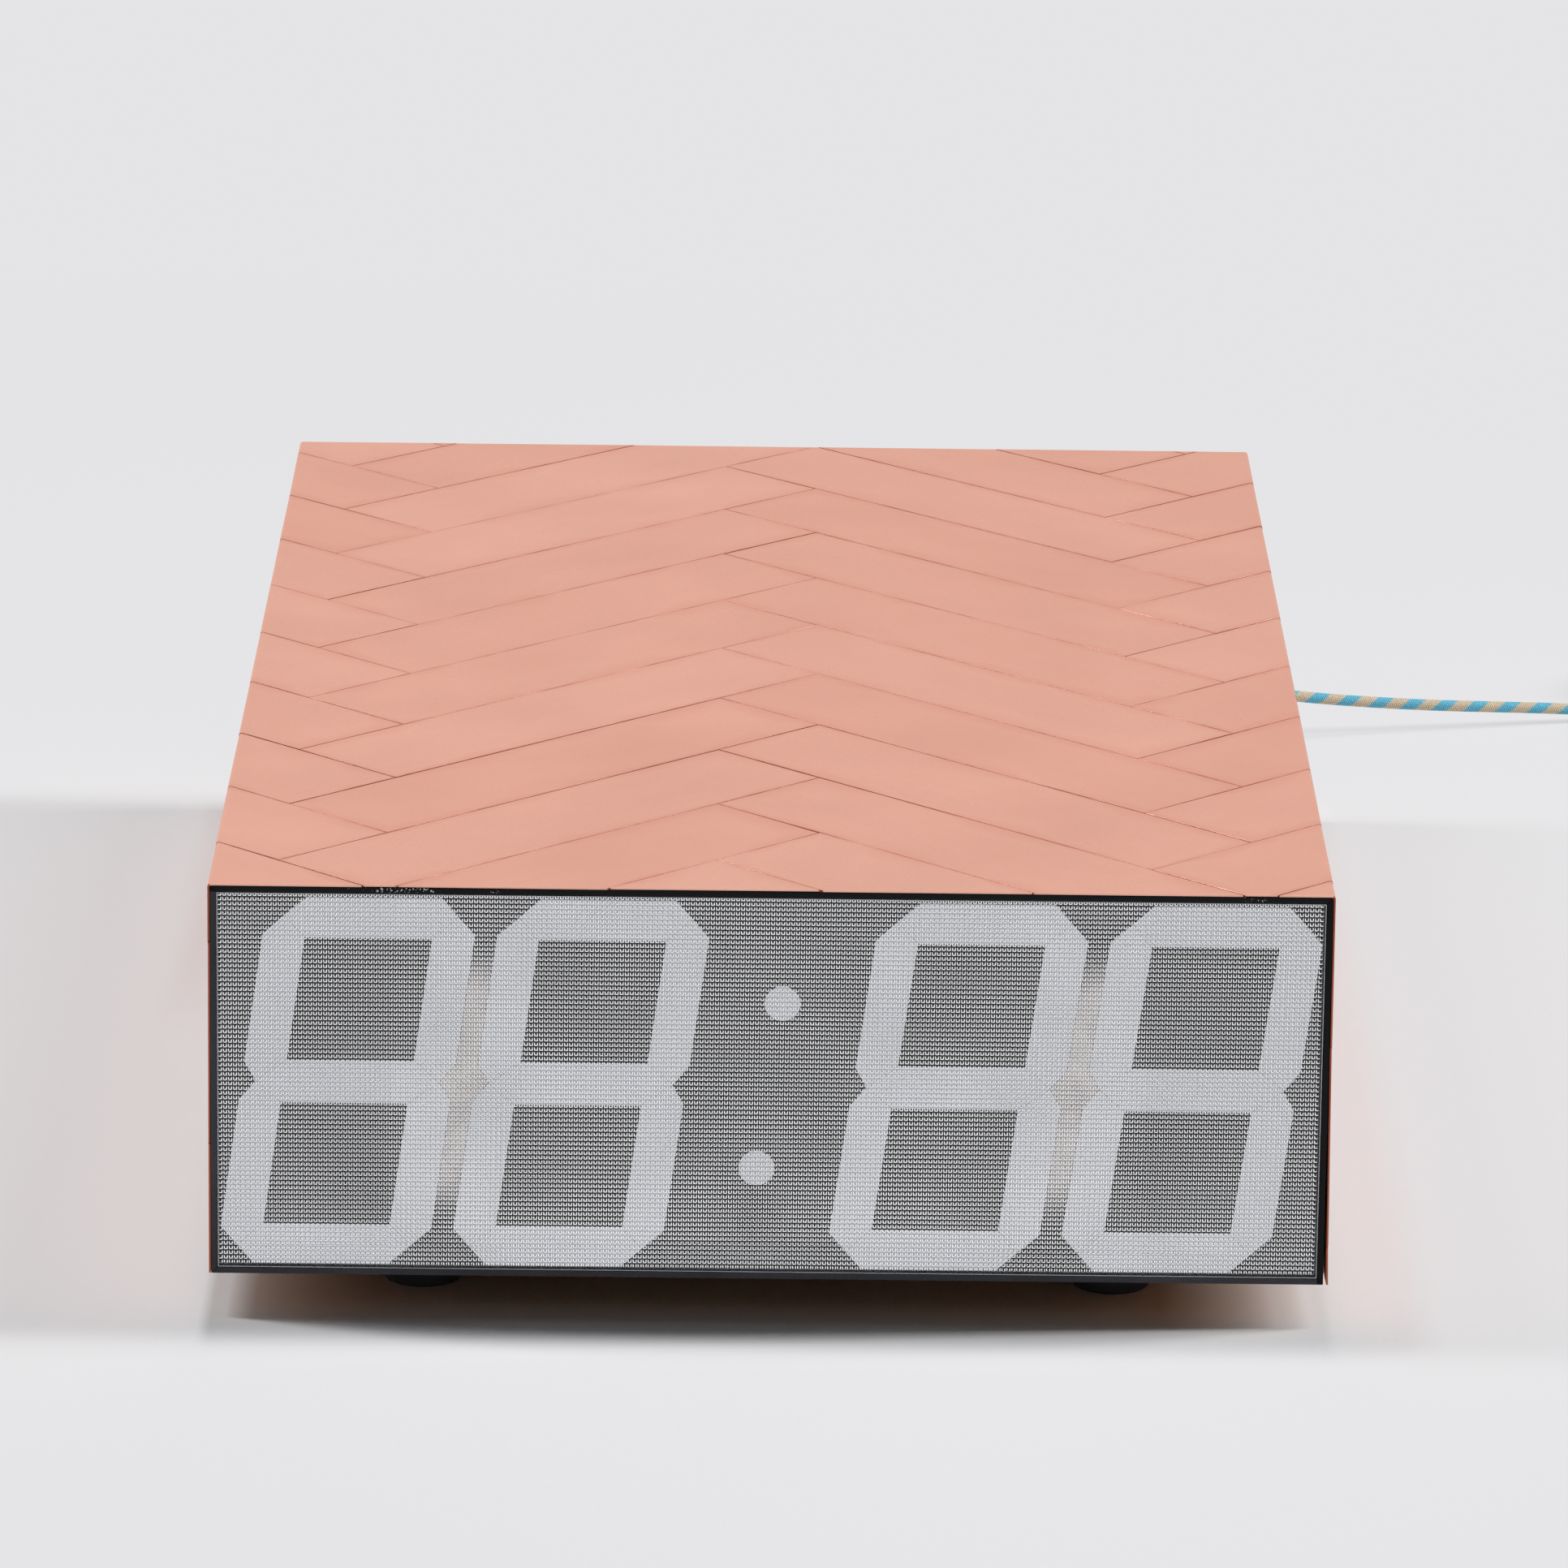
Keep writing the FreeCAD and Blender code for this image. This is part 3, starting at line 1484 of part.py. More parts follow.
def build_nodes():
    nodes = case_boards()
    nodes["rear_battens"] = rear_battens()
    nodes["back_panel"] = back_panel()
    nodes["back_panel_screws"] = [panel_screw(place) for place in panel_screw_places()]
    nodes["rubber_feet"] = [rubber_foot(place) for place in foot_places()]
    nodes["foot_washers"] = [foot_washer(place) for place in foot_places()]
    nodes["foot_screws"] = [foot_screw(place) for place in foot_places()]
    nodes["copper_left_edge"] = copper_column(-1)
    nodes["copper_centre_left"] = copper_column(0)
    nodes["copper_centre_right"] = copper_column(1)
    nodes["copper_right_edge"] = copper_column(2)
    nodes["copper_skirts"] = copper_column(-2) + copper_column(3)
    nodes["prismatic_sheet"] = prismatic_sheet()
    nodes["display_board"] = display_board()
    for number, centre_x in enumerate(digit_centres, start=1):
        nodes[f"digit_{number}_segments"] = digit_segments(centre_x)
    nodes["digit_bridges"] = digit_bridges()
    nodes["colon_dots"] = colon_dots()
    nodes["display_circuits"] = [circuit(circuit_width, centre_x) for centre_x in digit_centres]
    nodes["display_circuits"].append(circuit(colon_circuit_width, 0))
    nodes["display_leds"] = display_leds()
    nodes["board_spacers"] = board_spacers()
    nodes["board_screws"] = board_screws()
    nodes["ribbon_headers"] = ribbon_headers()
    nodes["ribbon_cables"] = ribbon_cables()
    nodes["controller_board"] = controller_board()
    nodes["controller_chips"] = controller_chips()
    nodes["quartz_crystal"] = quartz_crystal()
    nodes["coin_cell_holder"] = coin_cell_holder()
    nodes["coin_cell"] = coin_cell()
    nodes["power_supply_tray"] = power_supply_tray()
    nodes["power_supply_cover"] = power_supply_cover()
    nodes["power_supply_circuit"] = power_supply_circuit()
    nodes["terminal_block"] = terminal_block()
    nodes["power_supply_screws"] = power_supply_screws()
    nodes["mains_leads"] = [mains_lead()] + switch_leads()
    nodes["low_voltage_leads"] = [low_voltage_lead()] + button_leads()
    places = button_places()
    for name, place in zip(("hour", "minute", "dimmer"), places):
        nodes[f"{name}_button_cap"] = button_cap(place)
        nodes[f"{name}_button_spring"] = button_spring(place)
    nodes["button_bodies"] = [button_body(place) for place in places]
    nodes["panel_nuts"] = [button_nut(place) for place in places] + [gland_nut()]
    nodes["power_rocker"] = power_rocker()
    nodes["rocker_housing"] = rocker_housing()
    nodes["rocker_pin"] = rocker_pin()
    nodes["cord_gland"] = cord_gland()
    nodes["strain_relief"] = strain_relief()
    nodes.update(cord_nodes())
    nodes["coil_tie"] = coil_tie()
    nodes["plug_body"] = plug_body()
    nodes["plug_blades"] = plug_blades()
    return nodes


def cord_nodes():
    wires = {
        "cord_run": route_wire(cord_route()),
        "cord_tail": route_wire(tail_route()),
        "cord_coil": (coil_wire(), []),
    }
    section = math.pi * cord_diameter ** 2 / 4
    total = 0.0
    tubes = {}
    for name, (wire, radii) in wires.items():
        tubes[name] = round_tube(wire, cord_diameter)
        total += wire.Length
        print(name, "length", round(wire.Length, 1), "radii", [round(r) for r in radii])
        share = tubes[name].Volume / (section * wire.Length)
        print(name, "volume against section times length", round(share, 4))
    print("cord length in all", round(total, 1))
    print("least gap between turns of the coil", round(least_coil_gap(), 2))
    return tubes


def main():
    os.makedirs("parts", exist_ok=True)
    for name, shape in build_nodes().items():
        solid = Part.makeCompound(shape) if isinstance(shape, list) else shape
        if not solid.isValid():
            print("not valid:", name)
        solid.exportStep(f"parts/{name}.step")


main()
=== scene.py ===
"""Dresses the floor clock: copper strips over a black case, a prismatic front and a striped cloth cord.

Metres, in the frame of the packed model: X runs right as the display is read, Y runs from the
display to the back, and Z runs up from the floor.
"""

import json
import math
import random
from functools import reduce

import bmesh
import bpy
from bpy.props import FloatProperty, FloatVectorProperty, IntProperty, PointerProperty
from bpy.types import Operator, Panel, PropertyGroup
from mathutils import Matrix, Vector

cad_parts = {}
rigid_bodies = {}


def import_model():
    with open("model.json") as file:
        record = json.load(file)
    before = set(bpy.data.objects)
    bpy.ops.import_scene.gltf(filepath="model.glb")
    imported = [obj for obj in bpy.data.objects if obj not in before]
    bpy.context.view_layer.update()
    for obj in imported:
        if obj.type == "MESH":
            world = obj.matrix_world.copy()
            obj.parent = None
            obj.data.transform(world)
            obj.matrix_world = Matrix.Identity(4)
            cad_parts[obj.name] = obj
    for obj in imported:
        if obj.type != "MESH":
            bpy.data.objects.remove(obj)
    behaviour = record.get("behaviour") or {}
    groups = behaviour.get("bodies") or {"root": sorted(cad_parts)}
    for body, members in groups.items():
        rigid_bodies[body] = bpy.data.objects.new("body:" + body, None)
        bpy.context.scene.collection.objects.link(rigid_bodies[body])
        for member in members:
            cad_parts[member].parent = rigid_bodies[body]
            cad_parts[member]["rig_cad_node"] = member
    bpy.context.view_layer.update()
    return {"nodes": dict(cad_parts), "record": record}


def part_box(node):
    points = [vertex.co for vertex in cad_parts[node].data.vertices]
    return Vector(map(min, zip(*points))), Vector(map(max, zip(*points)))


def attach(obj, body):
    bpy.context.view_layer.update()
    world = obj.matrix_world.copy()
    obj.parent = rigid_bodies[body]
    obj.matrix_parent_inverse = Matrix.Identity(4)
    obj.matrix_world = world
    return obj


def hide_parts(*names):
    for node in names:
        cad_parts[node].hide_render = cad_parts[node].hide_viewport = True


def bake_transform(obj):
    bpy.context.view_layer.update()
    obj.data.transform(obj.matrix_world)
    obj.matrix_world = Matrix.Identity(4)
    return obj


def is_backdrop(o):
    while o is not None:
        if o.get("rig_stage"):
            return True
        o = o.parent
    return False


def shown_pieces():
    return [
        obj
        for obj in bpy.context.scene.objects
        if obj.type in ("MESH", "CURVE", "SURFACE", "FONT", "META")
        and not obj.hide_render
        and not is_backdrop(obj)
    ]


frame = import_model()

bl_info = {
    "name": "Floor clock",
    "version": (1, 0, 0),
    "blender": (4, 5, 0),
    "location": "3D View > Sidebar > Floor clock",
    "description": "Builds the surfaces and finishes of the floor clock on its packed frame",
    "category": "Object",
}

# Case, as in the part's source
CASE_HALF_WIDTH = 0.225
CASE_HEIGHT = 0.163
FRONT_Y = -0.380
BACK_Y = 0.380
TOP_Z = 0.181
BOTTOM_Z = 0.018
DIGIT_MIDDLE_Z = 0.0995
COPPER_COLUMNS = {
    "copper_centre_left": [0],
    "copper_centre_right": [1],
    "copper_left_edge": [-1],
    "copper_right_edge": [2],
    "copper_skirts": [-2, 3],
}
COPPER_HALF_WIDTH = 0.226
COPPER_TOP_Z = 0.182
HERRINGBONE_X = -0.1991
HERRINGBONE_Y = 0.0354
FOLD_STEPS = 5

# How the strips were laid: most turn and shift of one, how far its front edge stands back, and its depth and
# tilt in shares of the unevenness
STRIP_TURN = 0.00035
STRIP_SHIFTS = (0.00008, 0.00006)
FRONT_SETBACKS = (0, 0, 0.00015, 0.0003)
STRIP_DEPTHS = (0.1, 0.6)
STRIP_TILT = 0.4

# The corner at the lower right, where the copper has come away
CORNER_LIFT = 0.0011
LIFTED_HEIGHT = 0.048
LIFTED_DEPTH = 0.035

# Wear and shade in single places of the photo
WORN_LIP = ((-0.166, -0.112, 0.010), (0.192, 0.201, 0.004))
PAINTED_SHADE_FADE = (0.038, 0.054)
CONDUCTOR_PITCH = 0.00127

# The cord's route, as in the part's source
CORD_RUN = [
    (0.150, 0.403, 0.062),
    (0.150, 0.431, 0.062),
    (0.154, 0.459, 0.057),
    (0.170, 0.488, 0.047),
    (0.196, 0.510, 0.036),
    (0.228, 0.526, 0.0265),
    (0.263, 0.537, 0.0195),
    (0.300, 0.546, 0.0147),
    (0.337, 0.554, 0.0112),
    (0.373, 0.5625, 0.0086),
    (0.407, 0.5695, 0.0060),
]
COIL_CENTRE = Vector((0.461, 0.622, 0))
COIL_START = math.radians(-80)
COIL_END = math.radians(-45)
COIL_TURNS = 7 + 35 / 360
COIL_CLIMB = 0.5
COIL_PITCH = 0.0061
COIL_MEAN_RADIUS = 0.033
COIL_LOW_Z = 0.00335
COIL_POINTS_A_TURN = 24
PLUG_MIDDLE_Z = 0.008
CORD_SIDES = 20
CORD_STEPS = 10
COIL_LEAD = 0.030
PLUG_LEAD = (0.014, 0.029, 0.043)

# Gap between the prismatic sheet and its sawn edge, and the joining distance of its cells
RIM_GAP = 0.00002
CELL_JOIN = 0.00001

# The panel's screws: from its edge, and the sizes of one
SCREW_EDGE = 0.0072
SCREW_SIDES = 32
SCREW_SEED = 5
SCREW_TOP_SHARE = 0.42
SCREW_LEAN = 0.0002
SCREW_TAPER = 0.003
SCREW_POINT = 0.0004
CROSS_SIZE = (0.0040, 0.0009, 0.0024)

# Distances for merging, cutting and finding corners on a line
WELD = 2e-6
CUT_REACH = 1e-7
LINE_REACH = 1e-6

# Degrees between faces that count as flat, that are rounded or chamfered, and that stay sharp in shading
FLAT_ANGLE = 0.5
ROUND_ANGLE = 35
STRIP_ANGLE = 50
SHARP_ANGLE = 30
STRIP_SHARP_ANGLE = 25

# Camera, floor and lamps. The front lamp's place is in shares of the lamp distance
SENSOR_WIDTH = 36
CLIP_RANGE = (0.1, 100)
FLOOR_SIDES = 96
FLOOR_PLACE = (0, 2, -0.0001)
FOOTPRINT = (0.225, 0.396, 0)
LAMP_TARGET = Vector((0, -0.1, 0.1))
LAMP_LENGTH = 2.8
FRONT_LAMP = Vector((0, -0.7, 0.6))
FRONT_LAMP_SIZE = (3.0, 1.0)

made_finishes = {}


def low(node):
    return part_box(node)[0]


def high(node):
    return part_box(node)[1]


def number(label, text, default, unit="LENGTH", **limits):
    return FloatProperty(name=label, description=text, default=default, unit=unit, precision=5, **limits)


def plain(label, text, default, **limits):
    return FloatProperty(name=label, description=text, default=default, **limits)


def fraction(label, text, default):
    return plain(label, text, default, min=0, max=1, subtype="FACTOR")


def watts(label, text, default):
    return plain(label, text, default, min=0, unit="POWER")


def colour(label, text, default):
    return FloatVectorProperty(
        name=label, description=text, default=default, size=3, subtype="COLOR", min=0, max=1
    )


class ClockCopper(PropertyGroup):
    """Sizes and colours of the copper strips."""

    strip_width: number("Strip width", "Width of one strip", 0.0595)
    strip_length: number("Strip length", "Length of one strip", 0.2492)
    seam: number("Seam", "Gap between two strips", 0.0003)
    thickness: number("Thickness", "Thickness of a strip", 0.00075)
    fold_radius: number("Fold radius", "Outer radius where a strip turns over the long edge", 0.0016)
    unevenness: number("Unevenness", "How far strips sit below the highest one", 0.00024)
    softness: number("Softened edge", "Chamfer along a strip's edges", 0.00012)
    tone: colour("Copper", "Colour of aged copper", (0.845, 0.463, 0.356))
    pale_tone: colour("Pale copper", "Colour of the paler patches", (0.90, 0.535, 0.423))
    # The seam colour also gives the painted shade on the front end of the copper on the long sides
    seam_and_shade_tone: colour("Seam", "Colour of a strip's darkened edge", (0.30, 0.075, 0.040))
    stain_tone: colour("Stain", "Colour of the soft stain along some edges", (0.74, 0.335, 0.246))
    seed: IntProperty(name="Seed", description="Order of the strips' small differences", default=11)


class ClockSheet(PropertyGroup):
    """Sizes of the prismatic sheet."""

    columns: IntProperty(name="Columns", description="Pits across the sheet", default=220, min=1)
    rows: IntProperty(name="Rows", description="Pits up the sheet", default=79, min=1)
    land: fraction("Land", "Flat share of a cell's width between pits", 0.26)
    floor: fraction("Pit floor", "Flat share of a cell's width in the pit", 0.30)
    depth: number("Pit depth", "Depth of a pit", 0.0004)
    rim: number("Sawn edge", "Width of the frosted band round the sheet's edge", 0.00028)
    split: IntProperty(name="Split", description="Pits left of the parting of the mesh", default=101, min=1)
    tint: colour("Acrylic", "Colour of the acrylic", (0.97, 0.975, 0.985))


class ClockCord(PropertyGroup):
    """Sizes and colours of the cloth cord."""

    diameter: number("Diameter", "Outside of the cord", 0.0055)
    stripe_pitch: number("Stripe pitch", "Length of cord for one turn of the stripe", 0.0166)
    stripe_start: fraction("Stripe start", "Share of a turn by which the stripe is shifted", 0.54)
    blue: colour("Blue thread", "Colour of the blue stripe", (0.155, 0.60, 0.82))
    beige: colour("Beige thread", "Colour of the beige stripe", (0.80, 0.66, 0.47))


class ClockFinish(PropertyGroup):
    """Colours of the painted, moulded and lit pieces."""

    paint: colour("Black paint", "Satin black paint on the case", (0.012, 0.012, 0.014))
    rubber: colour("Rubber", "Black rubber of the feet", (0.012, 0.012, 0.013))
    moulding: colour("Moulding", "Black moulded plastic", (0.016, 0.016, 0.018))
    guide: colour("Light guide", "White plastic of the digits", (0.92, 0.92, 0.955))
    smoke: colour("Smoky guide", "Translucent pieces between the digits", (0.76, 0.695, 0.655))
    board: colour("Display board", "Matt black board behind the sheet", (0.012, 0.011, 0.014))


class ClockStage(PropertyGroup):
    """Camera, lamps and floor."""

    lens: plain("Lens", "Focal length in millimetres on a 36 mm sensor", 219.55, min=1)
    camera_place: FloatVectorProperty(
        name="Camera", description="Where the camera stands", default=(-0.006544, -4.05643, 1.24529),
        size=3, subtype="XYZ", unit="LENGTH",
    )
    camera_turn: FloatVectorProperty(
        name="Camera turn", description="Pitch, roll and yaw of the camera",
        default=(0.27048, 0.01188, -0.00298), size=3, subtype="EULER",
    )
    floor: colour("Floor", "Colour of the paper floor", (0.80, 0.80, 0.815))
    far_floor: colour("Far floor", "Brightness of the floor away from the clock", (0.776, 0.776, 0.79))
    floor_radius: number("Floor radius", "Radius of the floor", 14.0)
    room: colour("Room", "Colour of the pale room round the object", (0.76, 0.77, 0.79))
    room_light: plain("Room light", "Strength of the room's own light", 0.052, min=0)
    lamp_distance: number("Lamp distance", "From the clock to each lamp", 6.0)
    left_power: watts("Left lamp", "High lamp on the left", 148)
    left_low_power: watts("Low left lamp", "Low lamp on the left", 54)
    right_power: watts("Right lamp", "High lamp on the right", 118)
    right_low_power: watts("Low right lamp", "Low lamp on the right", 255)
    front_power: watts("Front lamp", "Lamp in front", 2)


class Nodes:
    """Adds nodes to one tree and joins them."""

    def __init__(self, tree):
        self.tree = tree

    def put(self, socket, value):
        """Joins a socket to the value, or sets it where the value is a plain one."""
        if isinstance(value, bpy.types.NodeSocket):
            self.tree.links.new(value, socket)
        elif socket.type == "RGBA" and len(value) == 3:
            socket.default_value = (*value, 1)
        else:
            socket.default_value = value

    def put_all(self, sockets, values):
        for socket, value in zip(sockets, values):
            self.put(socket, value)

    def add(self, kind, settings=None, **inputs):
        node = self.tree.nodes.new(kind)
        for name, value in (settings or {}).items():
            setattr(node, name, value)
        return self.feed(node, **inputs)

    def feed(self, node, **inputs):
        """Sets inputs of a node by their names, in which _ stands for a space."""
        for name, value in inputs.items():
            self.put(node.inputs[name.replace("_", " ")], value)
        return node

    def math(self, operation, *values, clamp=False):
        node = self.add("ShaderNodeMath", {"operation": operation, "use_clamp": clamp})
        self.put_all(node.inputs, values)
        return node.outputs[0]

    def plus(self, *values):
        return reduce(lambda first, second: self.math("ADD", first, second), values)

    def times(self, *values):
        return reduce(lambda first, second: self.math("MULTIPLY", first, second), values)

    def vector(self, operation, *values):
        node = self.add("ShaderNodeVectorMath", {"operation": operation})
        self.put_all(node.inputs, values)
        return node.outputs["Value" if operation == "LENGTH" else "Vector"]

    def span(self, value, start, end, to_start=0.0, to_end=1.0):
        """The value carried from one range to another, held at both ends."""
        node = self.add("ShaderNodeMapRange")
        self.put_all(node.inputs, (value, start, end, to_start, to_end))
        return node.outputs[0]

    def blend(self, share, first, second, mode="MIX"):
        node = self.add("ShaderNodeMix", {"data_type": "RGBA", "blend_type": mode})
        for index, value in ((0, share), (6, first), (7, second)):
            self.put(node.inputs[index], value)
        return node.outputs[2]

    def noise(self, vector, size, detail=2.0, roughness=0.5):
        """Noise whose lumps are about as large as size, in metres."""
        scale = self.math("DIVIDE", 1.0, size) if isinstance(size, bpy.types.NodeSocket) else 1 / size
        node = self.add("ShaderNodeTexNoise", Vector=vector, Scale=scale, Detail=detail, Roughness=roughness)
        return node.outputs[0]

    def stretched(self, vector, scale):
        node = self.add("ShaderNodeMapping", Vector=vector)
        node.inputs["Scale"].default_value = scale
        return node.outputs[0]

    def place(self):
        return self.add("ShaderNodeTexCoord").outputs["Object"]

    def parts(self, vector):
        return self.add("ShaderNodeSeparateXYZ", Vector=vector).outputs

    def bump(self, height, distance, **normal):
        return self.add("ShaderNodeBump", Height=height, Distance=distance, Strength=1.0, **normal).outputs[0]

    def group(self, group, **inputs):
        """The outputs of a shader group that is placed here with its own values."""
        return self.add("ShaderNodeGroup", {"node_tree": group}, **inputs).outputs

    def within(self, value, start, end, soft):
        """A mask that is 1 between start and end, with soft edges."""
        return self.times(self.span(value, start - soft, start), self.span(value, end, end + soft, 1.0, 0.0))


class Finish(Nodes):
    """A new material, with the plain values of its Principled shader."""

    def __init__(self, name, **constants):
        self.material = bpy.data.materials.new(name)
        self.material.use_nodes = True
        made_finishes[name] = self.material
        super().__init__(self.material.node_tree)
        self.shader = self.tree.nodes["Principled BSDF"]
        self.feed(self.shader, **constants)

    def surface(self, tone, rough, height, relief, **normal):
        """Joins colour, roughness and relief to the shader."""
        self.feed(self.shader, Base_Color=tone, Roughness=rough, Normal=self.bump(height, relief, **normal))

    def mottles(self, tones, sizes, roughness):
        """Patches and grain between two tones, with two sizes and two limits of roughness."""
        labels = ("Dark", "Light", "Patch_Size", "Grain_Size", "Smooth", "Rough")
        return self.group(mottle_group(), **dict(zip(labels, (*tones, *sizes, *roughness))))

    def flecks(self, size, amount):
        return self.group(fleck_group(), Size=size, Amount=amount)["Mask"]

    def show_instead(self, share, other):
        """Shows the other shader in place of the material's own, by that share."""
        both = self.add("ShaderNodeMixShader")
        self.put_all(both.inputs, (share, self.shader.outputs[0], other.outputs[0]))
        self.put(self.tree.nodes["Material Output"].inputs["Surface"], both.outputs[0])


class Maker(Nodes):
    """A geometry node tree with named inputs, which is run on a piece."""

    def __init__(self, name, **inputs):
        super().__init__(bpy.data.node_groups.new(name, "GeometryNodeTree"))
        self.identifiers = {}
        for label, kind in {"Geometry": "Geometry", **inputs, "Finish": "Material"}.items():
            socket = self.tree.interface.new_socket(name=label, in_out="INPUT", socket_type="NodeSocket" + kind)
            self.identifiers[label] = socket.identifier
        self.tree.interface.new_socket(name="Geometry", in_out="OUTPUT", socket_type="NodeSocketGeometry")
        self.given = self.add("NodeGroupInput").outputs

    def close(self, geometry):
        """Gives the geometry its material and puts it out."""
        finished = self.add("GeometryNodeSetMaterial", Geometry=geometry, Material=self.given["Finish"])
        self.put(self.add("NodeGroupOutput").inputs[0], finished.outputs[0])
        return self

    def run(self, piece, **values):
        """Keeps what the tree makes of the piece as its plain mesh."""
        modifier = piece.modifiers.new(self.tree.name, "NODES")
        modifier.node_group = self.tree
        for label, value in values.items():
            modifier[self.identifiers[label]] = value
        return baked(piece)


def shader_group(name, inputs, outputs, fill):
    """A shader node group with named sockets, made once.

    The defaults give the kinds of the inputs. Of the outputs, only one named Colour is a colour.
    """
    group = bpy.data.node_groups.get(name)
    if group:
        return group
    group = bpy.data.node_groups.new(name, "ShaderNodeTree")
    for label, default in inputs.items():
        kind = "Float" if isinstance(default, float) else {3: "Vector", 4: "Color"}[len(default)]
        socket = group.interface.new_socket(name=label, in_out="INPUT", socket_type="NodeSocket" + kind)
        socket.default_value = default
    for label in outputs:
        kind = "Color" if label == "Colour" else "Float"
        group.interface.new_socket(name=label, in_out="OUTPUT", socket_type="NodeSocket" + kind)
    nodes = Nodes(group)
    entry = nodes.add("NodeGroupInput").outputs
    leave = nodes.add("NodeGroupOutput").inputs
    for label, value in fill(nodes, entry).items():
        nodes.put(leave[label], value)
    return group


def mottle_group():
    """Soft patches and a fine grain: a colour, a roughness and a height."""

    def fill(nodes, given):
        place = nodes.place()
        patches = nodes.noise(place, given["Patch Size"], 3, 0.55)
        grain = nodes.noise(place, given["Grain Size"], 2, 0.6)
        level = nodes.plus(nodes.times(patches, 0.7), nodes.times(grain, 0.3))
        return {
            "Colour": nodes.blend(nodes.span(level, 0.35, 0.65), given["Dark"], given["Light"]),
            "Roughness": nodes.span(level, 0.3, 0.7, given["Smooth"], given["Rough"]),
            "Height": grain,
        }

    inputs = {
        "Dark": (0.01, 0.01, 0.01, 1), "Light": (0.03, 0.03, 0.03, 1),
        "Patch Size": 0.03, "Grain Size": 0.0008, "Smooth": 0.4, "Rough": 0.6,
    }
    return shader_group("Mottled surface", inputs, ("Colour", "Roughness", "Height"), fill)


def brushed_group():
    """Fine lines along the first axis of the vector, as brushing or drawing leaves them."""

    def fill(nodes, given):
        fine = nodes.noise(nodes.stretched(given["Vector"], (14, 2600, 2600)), 1.0)
        broad = nodes.noise(nodes.stretched(given["Vector"], (5, 420, 420)), 1.0, 3)
        return {"Lines": nodes.span(fine, 0.3, 0.7), "Bands": nodes.span(broad, 0.3, 0.7)}

    return shader_group("Brushed lines", {"Vector": (0, 0, 0)}, ("Lines", "Bands"), fill)


def fleck_group():
    """Small specks that come in crowds: a mask that is 1 on a speck."""

    def fill(nodes, given):
        place = nodes.place()
        specks = nodes.noise(place, given["Size"], 1, 0.4)
        crowd = nodes.noise(place, nodes.times(given["Size"], 24.0), 1)
        gate = nodes.times(nodes.span(crowd, 0.42, 0.62), 0.25)
        level = nodes.times(specks, nodes.plus(gate, 0.75))
        limit = nodes.math("SUBTRACT", 0.82, given["Amount"])
        return {"Mask": nodes.span(level, limit, nodes.plus(limit, 0.03))}

    return shader_group("Scattered flecks", {"Size": 0.0006, "Amount": 0.1}, ("Mask",), fill)


def mottled(name, tones, sizes, roughness, relief, **constants):
    """A finish with soft patches and a fine grain, for paint, rubber and mouldings."""
    nodes = Finish(name, **constants)
    look = nodes.mottles(tones, sizes, roughness)
    nodes.surface(look["Colour"], look["Roughness"], look["Height"], relief)


def shade(tone, factor):
    return tuple(min(1.0, part * factor) for part in tone)


def shades(tone, *factors):
    return [shade(tone, factor) for factor in factors]


def painted_board(name, tone):
    """Satin black paint over board: pale chips on the front lip, painted shade on the top and right boards, and
    bare underneath.
    """
    nodes = Finish(name, Specular_IOR_Level=0.12)
    look = nodes.mottles(shades(tone, 4.6, 7.0), (0.035, 0.0011), (0.38, 0.55))
    across, back, up = nodes.parts(nodes.place())[:3]
    # Painted shade: the top and right boards, whose lips frame the front, are painted nearly black
    painted_shade_top_right = nodes.math(
        "MAXIMUM",
        nodes.span(up, TOP_Z - 0.0026, TOP_Z - 0.0022),
        nodes.span(across, CASE_HALF_WIDTH - 0.0028, CASE_HALF_WIDTH - 0.0024),
    )
    paint = nodes.blend(nodes.times(painted_shade_top_right, 0.92), look["Colour"], (0.002, 0.002, 0.002))
    on_lip = nodes.within(back, FRONT_Y - 0.0001, FRONT_Y + 0.0003, 0.0002)
    at_top = nodes.within(up, TOP_Z - 0.0015, TOP_Z + 0.0002, 0.0006)
    worn = nodes.plus(*(nodes.within(across, *stretch) for stretch in WORN_LIP))
    chips = nodes.flecks(0.0009, 0.24)
    paint = nodes.blend(nodes.times(chips, on_lip, at_top, worn), paint, (0.80, 0.77, 0.75))
    underneath = nodes.span(up, BOTTOM_Z + 0.0003, BOTTOM_Z + 0.0004, 1.0, 0.0)
    bare = nodes.times(underneath, nodes.span(back, FRONT_Y + 0.0003, FRONT_Y + 0.0007))
    fibre = nodes.noise(nodes.place(), 0.0015, 3, 0.6)
    board = nodes.blend(nodes.span(fibre, 0.3, 0.7), (0.52, 0.26, 0.11), (0.62, 0.32, 0.14))
    nodes.surface(nodes.blend(bare, paint, board), look["Roughness"], look["Height"], 0.00006)


